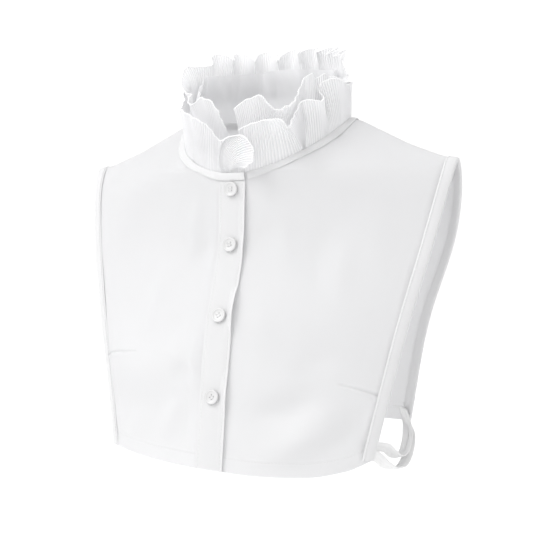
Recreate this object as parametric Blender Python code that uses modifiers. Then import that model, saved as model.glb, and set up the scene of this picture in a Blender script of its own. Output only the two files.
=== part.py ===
"""Ruffled stand collar on a short buttoned bib, hollow as worn, at real size.

+Z is up, +X is the wearer's left and the front faces -Y.  The origin is at the middle of the neck
opening, about level with its sides.  Sizes below are in millimetres and become metres when a mesh
is made.
"""
from bisect import bisect_right
from math import atan2, cos, pi, radians, sin, sqrt

import bmesh
import bpy
from mathutils import Vector

MM = 0.001
GAP = 0.3
CLOTH = 1.0
LAYER = CLOTH + GAP

# Neck opening
NECK_HALF_WIDTH = 70.5
NECK_SIDE_Z = 2.5
NECK_FRONT_Z = -41.7
NECK_BACK_Z = 9.0
NECK_FRONT_POWER = 1.3
NECK_BACK_POWER = 1.5

# Shoulders
MID_Y = -1.5
SHOULDER_TIP = 162.0
NECK_SLOPE = 1.0
NECK_BEND = 0.01
SEAM_HALF = 0.35
ROUND_AT_TIP = 31.5
ROUND_GROWTH = 0.25
NECK_SHARPNESS = 0.25

# Hems, bindings and closure
HEM_FOLD = 12.0
BACK_HEM_Z = -241.5
ARM_BINDING = 8.5
NECK_BINDING = 6.5
NECK_RING = 7.0
PLACKET_HALF = 11.5
OVERLAP = 10.5
LIFT_END = 22.0
LIFT_START = 6.0
FREE_EDGE_LIFT = 2.2

# Collar
STAND_HEIGHT = 39.6
STAND_LEAN = 14.0
STAND_END_CUT = 12.0
STAND_CUT_ANGLE = radians(22.0)
UPPER_SEAM_HEIGHT = 18.5

# Buttons, 18 lines across
BUTTON_RADIUS = 5.7
BUTTON_THICKNESS = 2.2
BUTTON_HEIGHTS = (-54.5, -98.3, -153.1, -214.6)

# Side straps
STRAP_WIDTH = 8.5


def named(columns, *rows):
    """A short table as a dictionary of columns."""
    return {name: [row[i] for row in rows] for i, name in enumerate(columns)}


FRONT = named(
    ("z", "centre", "edge", "edge_x"),
    (-274.0, 109.3, 61.0, 111.5),
    (-220.0, 101.5, 51.5, 122.5),
    (-162.0, 91.2, 41.9, 135.3),
    (-90.0, 68.6, 24.8, 152.0),
    (-41.0, 66.8, 11.0, 160.5),
    (-33.0, 61.0, 10.0, 161.5),
    (-20.0, 49.0, 9.5, 162.0),
    (-7.0, 41.0, 9.0, 162.0),
    (3.0, 38.0, 9.0, 162.0),
)
BACK = named(
    ("z", "centre", "edge", "edge_x"),
    (-242.0, 70.9, 47.9, 101.5),
    (-162.0, 77.1, 49.5, 116.8),
    (-90.0, 80.0, 35.3, 146.3),
    (-41.0, 75.0, 12.5, 160.5),
    (-10.0, 59.0, 10.0, 162.0),
    (9.0, 48.5, 9.0, 162.0),
)
SHOULDER = named(
    ("x", "z"),
    (72.0, 2.5),
    (80.0, 0.6),
    (88.0, -3.0),
    (95.0, -6.5),
    (105.0, -11.3),
    (120.0, -18.5),
    (135.0, -24.3),
    (150.0, -29.5),
    (162.0, -32.3),
)
FRONT_HEM = named(
    ("x", "z"),
    (-115.0, -259.3),
    (-54.0, -264.9),
    (0.0, -269.5),
    (50.0, -273.6),
    (72.0, -274.0),
    (98.0, -269.8),
    (113.0, -262.5),
)
# Stations along a tier's seam, from the wearer's left front end round the back to the right front end:
# the angle of the cloth from upright at the seam, the height and the sideways shift of the point that
# it bends round, and the reach of its edge outwards, upwards and sideways.
STATION_COLUMNS = ("at", "bend", "waist", "low", "out", "up", "side")
UPPER_START = named(
    STATION_COLUMNS,
    (0.0, -2.0, 17.0, -0.2, 8.0, 30.9, -0.7),
    (8.0, 0.0, 19.0, 0.0, 12.0, 34.8, 0.0),
    (15.0, 0.0, 20.0, -0.1, 15.0, 36.2, -0.2),
    (22.0, 0.0, 20.0, -0.7, 16.0, 36.1, -2.2),
    (28.0, 0.0, 20.0, -1.2, 17.0, 31.9, -4.2),
    (33.0, 0.0, 20.0, -1.7, 18.0, 25.1, -5.7),
    (38.0, 0.0, 20.0, -1.9, 17.0, 19.1, -6.3),
    (44.0, -2.0, 19.0, -1.9, 13.0, 18.8, -6.3),
    (50.0, -4.0, 18.0, -1.2, 7.0, 20.2, -4.1),
    (54.0, -8.0, 18.0, -0.7, 1.0, 23.3, -2.5),
    (59.0, -11.0, 18.0, -0.2, -4.0, 29.5, -0.8),
    (64.0, -11.0, 19.0, 0.2, -6.0, 35.5, 0.8),
    (70.0, -11.0, 19.0, 0.9, -7.5, 36.5, 3.1),
    (76.0, -11.0, 19.0, 0.8, -7.0, 30.0, 2.7),
    (82.0, -11.0, 19.0, 1.3, -6.0, 30.7, 4.3),
    (88.0, -10.0, 19.0, 1.2, -5.0, 26.5, 4.2),
    (94.0, -8.0, 19.0, 1.0, -2.0, 22.9, 3.3),
    (99.0, -4.0, 20.0, 0.2, 3.0, 18.6, 0.7),
    (103.0, 0.0, 21.0, 0.3, 7.0, 14.4, 1.1),
    (107.0, -2.0, 20.0, 1.1, 4.0, 17.9, 3.5),
    (112.0, -6.0, 19.0, 0.0, 0.0, 24.8, 0.0),
    (118.0, -8.0, 18.0, 0.0, -4.0, 30.5, 0.0),
)
UPPER_END = named(
    STATION_COLUMNS,
    (290.0, -8.0, 18.0, 0.0, -6.0, 30.0, 0.0),
    (300.0, -6.0, 19.0, 1.0, 2.0, 29.3, 3.4),
    (310.0, -4.0, 19.0, -0.3, 7.0, 32.0, -1.0),
    (318.0, -3.0, 19.0, -1.5, 9.0, 32.7, -4.9),
    (327.0, -3.0, 19.0, -2.4, 9.0, 29.1, -7.9),
    (336.0, -3.0, 18.0, -2.0, 7.0, 25.4, -6.0),
    (343.0, -4.0, 18.0, 0.0, 3.0, 24.0, 0.0),
    (350.0, -6.0, 18.0, 0.0, -1.0, 25.0, 0.0),
    (358.0, -6.0, 18.0, 0.0, 0.0, 27.9, 0.0),
    (367.0, -5.0, 18.0, -1.0, 3.0, 27.7, -3.0),
    (376.0, -4.0, 18.0, -1.5, 4.0, 27.1, -4.6),
    (385.0, -4.0, 18.0, -0.5, 5.0, 31.7, -1.3),
    (392.0, -2.0, 19.0, 1.5, 9.0, 36.4, 3.8),
    (399.0, 0.0, 20.0, 2.4, 12.0, 36.4, 5.9),
    (405.0, 0.0, 19.0, 2.0, 12.0, 32.6, 5.1),
    (411.0, 0.0, 17.0, 0.7, 10.0, 26.9, 1.9),
    (416.6, 0.0, 14.0, -0.6, 8.0, 19.2, -1.4),
)
LOWER_START = named(
    STATION_COLUMNS,
    (0.0, 12.0, 18.0, 1.4, 9.0, 31.4, 4.8),
    (6.0, 14.0, 19.0, 1.6, 13.0, 33.5, 5.3),
    (13.0, 14.0, 20.0, 0.7, 15.0, 33.6, 2.5),
    (20.0, 14.0, 20.0, -0.2, 17.0, 32.9, -0.7),
    (28.0, 14.0, 20.0, -1.9, 19.0, 31.5, -4.7),
    (36.0, 14.0, 20.0, -3.2, 20.0, 29.6, -7.9),
    (43.0, 14.0, 19.0, -5.0, 20.0, 25.9, -11.0),
    (49.0, 12.0, 17.0, -7.6, 19.0, 20.5, -15.1),
    (54.0, 8.0, 15.0, -8.0, 15.0, 14.7, -18.4),
    (56.0, 2.0, 18.0, -4.3, 5.0, 24.7, -10.8),
    (58.0, 0.0, 19.0, -1.4, 1.0, 34.5, -4.8),
    (62.0, 8.0, 20.0, -2.9, 5.0, 33.6, -7.3),
    (68.0, 12.0, 20.0, -3.8, 9.0, 31.1, -9.6),
    (74.0, 12.0, 20.0, -4.4, 10.0, 28.1, -11.0),
    (78.0, 8.0, 19.0, -3.5, 7.0, 25.6, -8.7),
    (81.0, 0.0, 19.0, -2.2, 1.0, 28.8, -5.5),
    (84.0, -4.0, 19.0, -3.6, -3.0, 33.9, -8.9),
    (88.0, 0.0, 19.0, -4.2, -2.0, 36.7, -10.4),
    (93.0, 4.0, 20.0, -4.2, 1.0, 36.6, -10.5),
    (98.0, 6.0, 20.0, -3.8, 3.0, 34.8, -9.6),
    (103.0, 4.0, 20.0, -2.8, 2.0, 31.8, -7.1),
    (108.0, 3.0, 19.0, -2.7, 1.0, 28.3, -6.7),
    (113.0, 4.0, 18.0, -2.0, 0.0, 25.0, -5.0),
    (119.0, 2.0, 18.0, 0.0, -1.0, 26.0, 0.0),
)
LOWER_END = named(
    STATION_COLUMNS,
    (330.0, 2.0, 18.0, 0.0, 1.0, 31.0, 0.0),
    (341.0, 4.0, 18.0, 0.0, 2.0, 31.0, 0.0),
    (352.0, 6.0, 19.0, 0.0, 3.0, 33.0, 0.0),
    (361.0, 10.0, 19.0, 1.0, 6.0, 34.5, 3.0),
    (371.0, 12.0, 20.0, 3.0, 10.0, 36.0, 8.0),
    (381.0, 14.0, 20.0, 4.0, 12.0, 36.0, 10.0),
    (390.0, 14.0, 19.0, 4.0, 13.0, 35.0, 11.0),
    (397.0, 12.0, 18.0, 3.5, 11.0, 32.1, 10.0),
    (403.0, 8.0, 17.0, 2.8, 9.0, 27.7, 7.0),
    (407.0, 6.0, 16.0, 2.0, 8.0, 23.2, 6.7),
    (409.0, 5.0, 18.0, 0.0, 9.0, 24.9, 10.6),
    (410.8, 6.0, 20.0, -3.1, 11.0, 26.7, 15.6),
    (412.5, 8.0, 21.0, -5.0, 14.0, 27.0, 22.0),
    (414.0, 8.0, 20.0, -3.0, 15.0, 25.0, 26.5),
    (415.2, 8.0, 17.0, 0.0, 16.0, 20.0, 30.0),
    (416.3, 8.0, 13.0, 3.0, 16.0, 13.0, 31.0),
    (417.2, 8.0, 9.0, 5.0, 15.0, 6.8, 28.0),
    (418.1, 8.0, 5.0, 6.0, 12.0, 2.3, 18.0),
)
# Plain waves round the sides and the back: share of the seam, angle from upright at the seam, outward
# reach of the edge at the crest and in the trough before it, and its height at both.
WAVE_COLUMNS = ("width", "bend", "crest", "trough", "top", "notch")
UPPER_WAVES = named(
    WAVE_COLUMNS,
    (20.0, -8.0, 0.0, -4.0, 34.0, 31.0),
    (21.0, -8.0, 5.0, -7.0, 38.0, 32.0),
    (22.0, -8.0, 8.0, -8.0, 41.0, 34.0),
    (19.0, -8.0, 8.0, -8.0, 40.0, 35.0),
    (20.0, -8.0, 7.0, -9.0, 39.0, 34.0),
    (27.0, -8.0, 8.0, -9.0, 40.0, 29.0),
    (22.0, -8.0, 9.0, -9.0, 40.0, 31.0),
    (21.0, -8.0, 5.0, -8.0, 40.0, 34.0),
)
LOWER_WAVES = named(
    WAVE_COLUMNS,
    (26.0, 0.0, 2.0, -1.0, 28.0, 26.0),
    (27.0, 0.0, 4.0, -3.0, 31.0, 29.0),
    (26.0, 0.0, 6.0, -4.0, 33.0, 31.0),
    (28.0, 0.0, 7.0, -5.0, 33.0, 31.0),
    (25.0, 0.0, 6.0, -5.0, 33.0, 31.0),
    (26.0, 0.0, 7.0, -5.0, 33.0, 30.5),
    (26.0, 0.0, 5.0, -5.0, 32.5, 30.5),
    (26.0, 0.0, 4.0, -4.0, 32.0, 30.0),
)
# Cloth of the tiers: seam between columns, sideways swell of a wave's edge as a share of its width, how
# square its top is, and the height of the pleats of each tier.
RUFFLE_COLUMN = 2.45
GATHER = 0.1
SHOULDER_SHARE = 0.62
EDGE_SHARE = 0.62
UPPER_PLEAT = 0.6
LOWER_PLEAT = 0.7
PLEATS_FROM = 0.1
UPPER_PLAIN = (112.0, 300.0)
UPPER_ENDS = (4.0, -4.5)
LOWER_ENDS = (5.0, -2.0)
TIER_SPACING = LAYER + 1.2

# Route of the outer and the inner strand of a side strap on the wearer's left, front to back:
# place, and the way that the strand's width runs.
STRAND_COLUMNS = ("x", "y", "z", "wx", "wy", "wz")
OUTER_STRAND = named(
    STRAND_COLUMNS,
    (103.0, -64.3, -252.5, 0.1, 0.1, 1.0),
    (109.3, -57.0, -256.5, 0.3, 0.1, 1.0),
    (112.2, -44.0, -262.5, 0.6, 0.0, 0.9),
    (112.0, -28.0, -269.5, 0.9, 0.0, 0.4),
    (110.5, -10.0, -274.0, 1.0, 0.0, 0.1),
    (109.0, 7.0, -274.5, 1.0, 0.1, 0.0),
    (108.0, 20.0, -270.5, 1.0, 0.3, 0.0),
    (106.8, 31.0, -262.0, 0.9, 0.4, 0.0),
    (104.5, 39.0, -252.5, 0.9, 0.2, 0.0),
    (100.5, 43.8, -243.5, 0.9, -0.4, 0.0),
    (96.4, 45.3, -233.0, 0.9, -0.42, 0.0),
)
INNER_STRAND = named(
    STRAND_COLUMNS,
    (102.0, -63.2, -250.5, 0.1, 0.1, 1.0),
    (107.5, -55.5, -252.5, 0.3, 0.1, 1.0),
    (110.2, -42.0, -254.0, 0.5, 0.0, 0.9),
    (110.0, -26.0, -256.0, 0.7, 0.0, 0.7),
    (109.0, -9.0, -262.5, 0.8, 0.0, 0.5),
    (108.0, 5.0, -266.5, 1.0, 0.0, 0.2),
    (107.3, 17.0, -264.5, 1.0, 0.2, 0.0),
    (106.0, 27.5, -257.5, 0.9, 0.4, 0.0),
    (103.8, 36.0, -249.5, 0.9, 0.2, 0.0),
    (99.8, 42.2, -241.5, 0.9, -0.4, 0.0),
    (95.8, 43.9, -231.5, 0.9, -0.42, 0.0),
)

CLOTH_WHITE = (0.90, 0.90, 0.90, 1.0)
ORGANZA_WHITE = (0.94, 0.94, 0.94, 1.0)
BUTTON_WHITE = (0.86, 0.86, 0.85, 1.0)


def clamp(value, low, high):
    return max(low, min(high, value))


def smooth(table, key, name, at):
    """Cubic through a table's points that never overshoots them, level beyond its ends."""
    xs = table[key]
    ys = table[name]
    i = clamp(bisect_right(xs, at) - 1, 0, len(xs) - 2)
    secants = [(ys[k + 1] - ys[k]) / (xs[k + 1] - xs[k]) for k in range(len(xs) - 1)]

    def slope(k):
        if k == 0 or k == len(xs) - 1:
            return secants[min(k, len(secants) - 1)]
        before, after = secants[k - 1], secants[k]
        return 0.0 if before * after <= 0 else 2 * before * after / (before + after)

    span = xs[i + 1] - xs[i]
    t = clamp((at - xs[i]) / span, 0.0, 1.0)
    rise = t * t * (3 - 2 * t)
    start = t * (1 - t) ** 2 * span * slope(i)
    end = -t * t * (1 - t) * span * slope(i + 1)
    return ys[i] + (ys[i + 1] - ys[i]) * rise + start + end


def ridge(x):
    """Height of the shoulder line, carried on up the neck inside the neck opening."""
    across = abs(x)
    inside = NECK_HALF_WIDTH - across
    if inside > 0:
        return NECK_SIDE_Z + NECK_SLOPE * inside + NECK_BEND * inside ** 2
    return smooth(SHOULDER, "x", "z", across)


def depth(panel, x, z):
    """How far the worn cloth stands in front of, or behind, the shoulder line's plane."""
    centre = smooth(panel, "z", "centre", z)
    edge = smooth(panel, "z", "edge", z)
    share = min(1.0, (x / smooth(panel, "z", "edge_x", z)) ** 2)
    across = centre + (edge - centre) * share
    reach = ROUND_AT_TIP + (SHOULDER_TIP - abs(x)) * ROUND_GROWTH
    t = clamp((ridge(x) - z) / reach, 0.0, 1.0)
    near_neck = clamp((SHOULDER_TIP - abs(x)) / (SHOULDER_TIP - NECK_HALF_WIDTH), 0.0, 1.0)
    power = 0.5 + NECK_SHARPNESS * near_neck
    return across * (1 - (1 - t) ** 2) ** power


def facing(panel):
    return -1.0 if panel is FRONT else 1.0


def on_panel(panel, x, z):
    """Point of a panel's outer face."""
    return Vector((x, MID_Y + facing(panel) * (SEAM_HALF + depth(panel, x, z)), z))


def out_of_panel(panel, x, z):
    """Unit vector straight out of a panel."""
    step = 0.05
    low = min(z, ridge(x) - 2 * step)
    along_x = (depth(panel, x + step, low) - depth(panel, x - step, low)) / (2 * step)
    along_z = (depth(panel, x, low + step) - depth(panel, x, low - step)) / (2 * step)
    return Vector((-along_x, facing(panel), -along_z)).normalized()


def neck_xz(angle):
    """Neckline at an angle from the front middle, positive towards the wearer's left."""
    x = NECK_HALF_WIDTH * sin(angle)
    if cos(angle) >= 0:
        return x, NECK_SIDE_Z + (NECK_FRONT_Z - NECK_SIDE_Z) * cos(angle) ** NECK_FRONT_POWER
    low = abs(x / NECK_HALF_WIDTH) ** NECK_BACK_POWER
    return x, NECK_BACK_Z + (NECK_SIDE_Z - NECK_BACK_Z) * low


def neck_panel(angle):
    return FRONT if cos(angle) >= 0 else BACK


def neck_point(angle):
    x, z = neck_xz(angle)
    panel = neck_panel(angle)
    return Vector((x, MID_Y + facing(panel) * depth(panel, x, z), z))


def neck_outward(angle):
    """Level unit vector away from the neck."""
    step = radians(2.0)
    along = neck_point(angle + step) - neck_point(angle - step)
    return Vector((along.y, -along.x, 0.0)).normalized()


def below_neck(panel, angle, distance):
    """Panel point at a distance from the neckline, measured over the cloth."""
    step = radians(0.5)
    x, z = neck_xz(angle)
    outward = out_of_panel(panel, x, z)
    before = on_panel(panel, *neck_xz(angle - step))
    after = on_panel(panel, *neck_xz(angle + step))
    if abs(abs(angle) - pi / 2) < 2 * step:
        fall = (ridge(abs(x) + distance) - ridge(abs(x))) / distance
        down = Vector((x / abs(x), 0.0, fall)).normalized()
    else:
        down = outward.cross(after - before).normalized()
        if down.z > 0:
            down = -down
    new_x = x + distance * down.x
    return new_x, min(z + distance * down.z, ridge(new_x))


def grid_sheet(name, rows, columns, place, keep=None):
    """Grid primitive whose points are moved to place(row, column)."""
    bpy.ops.mesh.primitive_grid_add(x_subdivisions=columns - 1, y_subdivisions=rows - 1)
    sheet = bpy.context.object
    sheet.name = name
    sheet.data.name = name
    bm = bmesh.new()
    bm.from_mesh(sheet.data)
    bm.verts.ensure_lookup_table()
    for index, vert in enumerate(bm.verts):
        row, column = divmod(index, columns)
        vert.co = place(row, column) * MM
    if keep:
        unused = [vert for index, vert in enumerate(bm.verts) if not keep(*divmod(index, columns))]
        bmesh.ops.delete(bm, geom=unused, context="VERTS")
    bm.to_mesh(sheet.data)
    bm.free()
    sheet.data.shade_smooth()
    sheet.data.set_sharp_from_angle(angle=radians(50.0))
    return sheet


def thicken(sheet, thickness=CLOTH, offset=-1.0):
    wall = sheet.modifiers.new("Wall", "SOLIDIFY")
    wall.thickness = thickness * MM
    wall.offset = offset
    return sheet


def material(name, colour, roughness):
    made = bpy.data.materials.get(name) or bpy.data.materials.new(name)
    made.use_nodes = True
    shader = made.node_tree.nodes["Principled BSDF"]
    shader.inputs["Base Color"].default_value = colour
    shader.inputs["Roughness"].default_value = roughness
    shader.inputs["Metallic"].default_value = 0.0
    made.diffuse_color = colour
    return made


def finish(piece, collection, colour, roughness=0.85):
    """Puts a piece in the collar's collection and gives it its material."""
    for owner in list(piece.users_collection):
        owner.objects.unlink(piece)
    collection.objects.link(piece)
    piece.data.materials.clear()
    piece.data.materials.append(material(piece.name + "_cloth", colour, roughness))
    return piece


# Stations across a panel, from the front middle (or the back middle) to the side
FRONT_NECK_X = (-OVERLAP, -LIFT_START, 3.0, 12.5, 22.0)
FRONT_NECK_ANGLES = tuple(atan2(x, sqrt(NECK_HALF_WIDTH ** 2 - x * x)) for x in FRONT_NECK_X)
FRONT_ANGLES = FRONT_NECK_ANGLES + tuple(radians(a) for a in (24, 32, 40, 48, 56, 64, 72, 81, 90))
BACK_ANGLES = tuple(radians(9.0 * k) for k in range(11))
SHOULDER_STATIONS = 5
BODY_ROWS = 12
ROW_EASE = 1.8


def free_edge_lift(x, z, side):
    """How far the overlapping front is raised over the other one."""
    if side > 0:
        return 0.0
    inner = -x
    if inner >= LIFT_END:
        return 0.0
    lift = LAYER * clamp((LIFT_END - inner) / (LIFT_END - PLACKET_HALF - 1.0), 0.0, 1.0)
    if inner < -LIFT_START:
        fade = clamp((-48.0 - z) / 25.0, 0.0, 1.0)
        wave = 1.0 + 0.35 * sin(2 * pi * (z + 98.0) / 54.0)
        lift += FREE_EDGE_LIFT * fade * wave * (-inner - LIFT_START) / (OVERLAP - LIFT_START)
    return lift


def panel_plan(panel, side):
    """Stations of half a panel: hem x, top x and z, and how many of them are on the neckline."""
    angles = FRONT_ANGLES if panel is FRONT else tuple(pi - a for a in BACK_ANGLES)
    hem_level = -262.0 if panel is FRONT else BACK_HEM_Z
    hem_edge = smooth(panel, "z", "edge_x", hem_level) - ARM_BINDING
    first = NECK_HALF_WIDTH * sin(angles[0])
    tops = []
    for angle in angles:
        tops.append(below_neck(panel, side * angle, NECK_RING))
    ring_x = abs(tops[-1][0])
    top_edge = SHOULDER_TIP - ARM_BINDING
    for k in range(1, SHOULDER_STATIONS + 1):
        x = ring_x + (top_edge - ring_x) * k / SHOULDER_STATIONS
        tops.append((side * x, ridge(x)))
    neck_share = 0.74
    hems = []
    for k, angle in enumerate(angles):
        across = NECK_HALF_WIDTH * sin(angle)
        if across <= 22.0:
            hems.append(across)
        else:
            start = 22.0 if panel is FRONT else first
            t = (across - start) / (NECK_HALF_WIDTH - start)
            hems.append(start + (hem_edge * neck_share - start) * t)
    for k in range(1, SHOULDER_STATIONS + 1):
        hems.append(hem_edge * (neck_share + (1 - neck_share) * k / SHOULDER_STATIONS))
    return angles, hems, tops


def hem_z(panel, x):
    return smooth(FRONT_HEM, "x", "z", x) if panel is FRONT else BACK_HEM_Z


def half_panel(panel, side):
    """Rows of (x, z, neck angle or None) for half a panel, hem first and front middle first."""
    angles, hems, tops = panel_plan(panel, side)
    last = len(hems) - 1
    rows = []
    for row in range(BODY_ROWS + 1):
        v = 1 - (1 - row / BODY_ROWS) ** ROW_EASE
        line = []
        base_edge_z = hem_z(panel, side * hems[last]) + HEM_FOLD
        edge_z = base_edge_z + (tops[last][1] - base_edge_z) * v
        edge_x = smooth(panel, "z", "edge_x", edge_z) - ARM_BINDING
        straight_x = hems[last] + (abs(tops[last][0]) - hems[last]) * v
        for k, hem_x in enumerate(hems):
            base_z = hem_z(panel, side * hem_x) + HEM_FOLD
            u = (hem_x - hems[0]) / (hems[last] - hems[0])
            x = hem_x + (side * tops[k][0] - hem_x) * v + u * (edge_x - straight_x)
            z = base_z + (tops[k][1] - base_z) * v
            line.append((side * x, z))
        tip_z = ridge(SHOULDER_TIP)
        side_z = edge_z if row < BODY_ROWS else tip_z
        side_x = smooth(panel, "z", "edge_x", side_z) if row < BODY_ROWS else SHOULDER_TIP
        line.append((side * side_x, side_z))
        rows.append(line)
    hem_line = []
    for x, z in rows[0]:
        hem_line.append((x, hem_z(panel, x)))
    corner_z = hem_line[-1][1]
    hem_line[-1] = (side * smooth(panel, "z", "edge_x", corner_z), corner_z)
    neck_line = [neck_xz(side * angle) for angle in angles]
    return [hem_line] + rows, neck_line


def panel_points(panel, side):
    """Outer points of half a panel, with the neck row last and its missing points as None."""
    rows, neck_line = half_panel(panel, side)
    width = len(rows[0])
    grid = []
    for line in rows + [neck_line + [None] * (width - len(neck_line))]:
        points = []
        for spot in line:
            if spot is None:
                points.append(None)
                continue
            x, z = spot
            lift = free_edge_lift(x, z, side) if panel is FRONT else 0.0
            points.append(on_panel(panel, x, z) + out_of_panel(panel, x, z) * lift)
        grid.append(points)
    return grid


def make_front(name, side, collection):
    grid = panel_points(FRONT, side)
    columns = len(grid[0])

    def place(row, column):
        k = column if side > 0 else columns - 1 - column
        return grid[row][k] or grid[row - 1][k]

    def keep(row, column):
        k = column if side > 0 else columns - 1 - column
        return grid[row][k] is not None

    sheet = thicken(grid_sheet(name, len(grid), columns, place, keep))
    return finish(sheet, collection, CLOTH_WHITE)


def make_back(collection):
    left = panel_points(BACK, 1.0)
    right = panel_points(BACK, -1.0)
    grid = []
    for left_row, right_row in zip(left, right):
        grid.append(list(reversed(left_row)) + right_row[1:])
    columns = len(grid[0])

    def place(row, column):
        return grid[row][column] or grid[row - 1][column]

    sheet = grid_sheet("back", len(grid), columns, place, lambda r, c: grid[r][c] is not None)
    return finish(thicken(sheet), collection, CLOTH_WHITE)


def make_placket(collection):
    """Folded strip down the wearer's right front, whose edge stands proud of the other front."""
    across = (-PLACKET_HALF, -3.0, LIFT_START, PLACKET_HALF)
    top = below_neck(FRONT, 0.0, NECK_BINDING + GAP)[1]
    bottom = hem_z(FRONT, 0.0)
    levels = [bottom]
    for row in range(BODY_ROWS + 1):
        v = 1 - (1 - row / BODY_ROWS) ** ROW_EASE
        levels.append(bottom + HEM_FOLD + (top - bottom - HEM_FOLD) * v)

    def place(row, column):
        x = across[column]
        z = levels[row] + (hem_z(FRONT, x) - bottom) * (1 - row / len(levels))
        rise = free_edge_lift(x, z, -1.0) + LAYER
        return on_panel(FRONT, x, z) + out_of_panel(FRONT, x, z) * rise

    sheet = thicken(grid_sheet("placket", len(levels), len(across), place))
    return finish(sheet, collection, CLOTH_WHITE)


def neck_stations():
    """Angles round the neckline from the overlapping front's end to just short of it."""
    front_right = [-a for a in FRONT_ANGLES]
    back_right = [-(pi - a) for a in reversed(BACK_ANGLES[:-1])]
    back_left = [pi - a for a in BACK_ANGLES[1:]]
    front_left = [a for a in reversed(FRONT_ANGLES[3:-1])]
    return front_right, back_right, back_left, front_left


def make_neck_binding(collection):
    front_right, back_right, back_left, front_left = neck_stations()
    stations = [(a, FRONT, -1.0) for a in front_right] + [(a, BACK, -1.0) for a in back_right]
    stations += [(a, BACK, 1.0) for a in back_left] + [(a, FRONT, 1.0) for a in front_left]
    widths = (NECK_BINDING, NECK_BINDING / 2, GAP)

    def place(row, column):
        angle, panel, side = stations[column]
        x, z = neck_xz(angle)
        lift = free_edge_lift(x, z, side) if panel is FRONT else 0.0
        top = on_panel(panel, x, z)
        low = on_panel(panel, *below_neck(panel, angle, NECK_RING))
        if abs(abs(angle) - pi / 2) < 1e-6:
            top.y = low.y = MID_Y
        share = widths[row] / NECK_RING
        return top.lerp(low, share) + out_of_panel(panel, x, z) * (lift + LAYER)

    sheet = thicken(grid_sheet("neck_binding", len(widths), len(stations), place))
    return finish(sheet, collection, CLOTH_WHITE)


# Cross-section of an armhole binding folded over a panel's edge: distance in from the edge and
# distance out from the panel's outer face
FOLD_GAP = 0.5
FOLD_OUT = FOLD_GAP + CLOTH
FOLD_SECTION = (
    (ARM_BINDING, FOLD_GAP),
    (ARM_BINDING, FOLD_OUT),
    (-0.5, FOLD_OUT),
    (-FOLD_OUT, 0.5),
    (-FOLD_OUT, -CLOTH - 0.5),
    (-0.5, -CLOTH - FOLD_OUT),
    (ARM_BINDING, -CLOTH - FOLD_OUT),
    (ARM_BINDING, -CLOTH - FOLD_GAP),
    (-FOLD_GAP, -CLOTH - FOLD_GAP),
    (-FOLD_GAP, FOLD_GAP),
)


def make_arm_binding(name, panel, side, collection):
    """Strip folded over one side edge of a panel, hem to shoulder."""
    grid = panel_points(panel, side)[:-1]
    rows, _ = half_panel(panel, side)
    stations = []
    for line, spots in zip(grid, rows):
        edge = line[-1]
        inset = line[-2]
        inward = (inset - edge).normalized()
        outward = out_of_panel(panel, *spots[-1])
        if line is grid[-1]:
            inward.y = outward.y = 0.0
            inward.normalize()
        outward = (outward - inward * outward.dot(inward)).normalized()
        stations.append((edge, inward, outward))
    count = len(FOLD_SECTION)
    mesh = bpy.data.meshes.new(name)
    bm = bmesh.new()
    rings = []
    for edge, inward, outward in stations:
        ring = [bm.verts.new((edge + inward * a + outward * b) * MM) for a, b in FOLD_SECTION]
        rings.append(ring)
    for lower, upper in zip(rings, rings[1:]):
        for k in range(count):
            n = (k + 1) % count
            bm.faces.new((lower[k], lower[n], upper[n], upper[k]))
    bm.faces.new(rings[0])
    bm.faces.new(rings[-1])
    bmesh.ops.recalc_face_normals(bm, faces=bm.faces)
    bm.to_mesh(mesh)
    bm.free()
    mesh.shade_smooth()
    mesh.set_sharp_from_angle(angle=radians(50.0))
    strip = bpy.data.objects.new(name, mesh)
    bpy.context.scene.collection.objects.link(strip)
    return finish(strip, collection, CLOTH_WHITE)


def stand_point(angle, height):
    """Outer face of the inner stand."""
    return neck_point(angle) + neck_outward(angle) * -stand_lean(height) + Vector((0, 0, height))


def stand_lean(height):
    return height * sin(radians(STAND_LEAN)) / cos(radians(STAND_LEAN))


def make_stand(collection):
    """Sheer inner band of the collar, leaning in towards its top."""
    left_end = radians(3.5)
    right_end = -radians(3.5)
    half = [left_end] + list(FRONT_ANGLES[3:]) + [pi - a for a in reversed(BACK_ANGLES[:-1])]
    other = [2 * pi - a for a in reversed(half[:-1])]
    other[-1] = 2 * pi + right_end
    angles = half + other
    levels = (0.0, 1 / 3, 2 / 3, 1.0)

    def place(row, column):
        from_end = min(angles[column] - angles[0], angles[-1] - angles[column])
        cut = STAND_END_CUT * clamp(1 - from_end / STAND_CUT_ANGLE, 0.0, 1.0) ** 2
        return stand_point(angles[column], GAP + (STAND_HEIGHT - cut - GAP) * levels[row])

    sheet = thicken(grid_sheet("collar_stand", len(levels), len(angles), place))
    return finish(sheet, collection, ORGANZA_WHITE)


def seam_walk(first_x, last_x):
    """Angles and lengths along the neckline, from the left front end round."""
    start = atan2(first_x, NECK_HALF_WIDTH)
    end = 2 * pi + atan2(last_x, NECK_HALF_WIDTH)
    steps = 720
    angles = [start + (end - start) * k / steps for k in range(steps + 1)]
    lengths = [0.0]
    for a, b in zip(angles, angles[1:]):
        lengths.append(lengths[-1] + (neck_point(b) - neck_point(a)).length)
    return {"length": lengths, "angle": angles}


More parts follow.
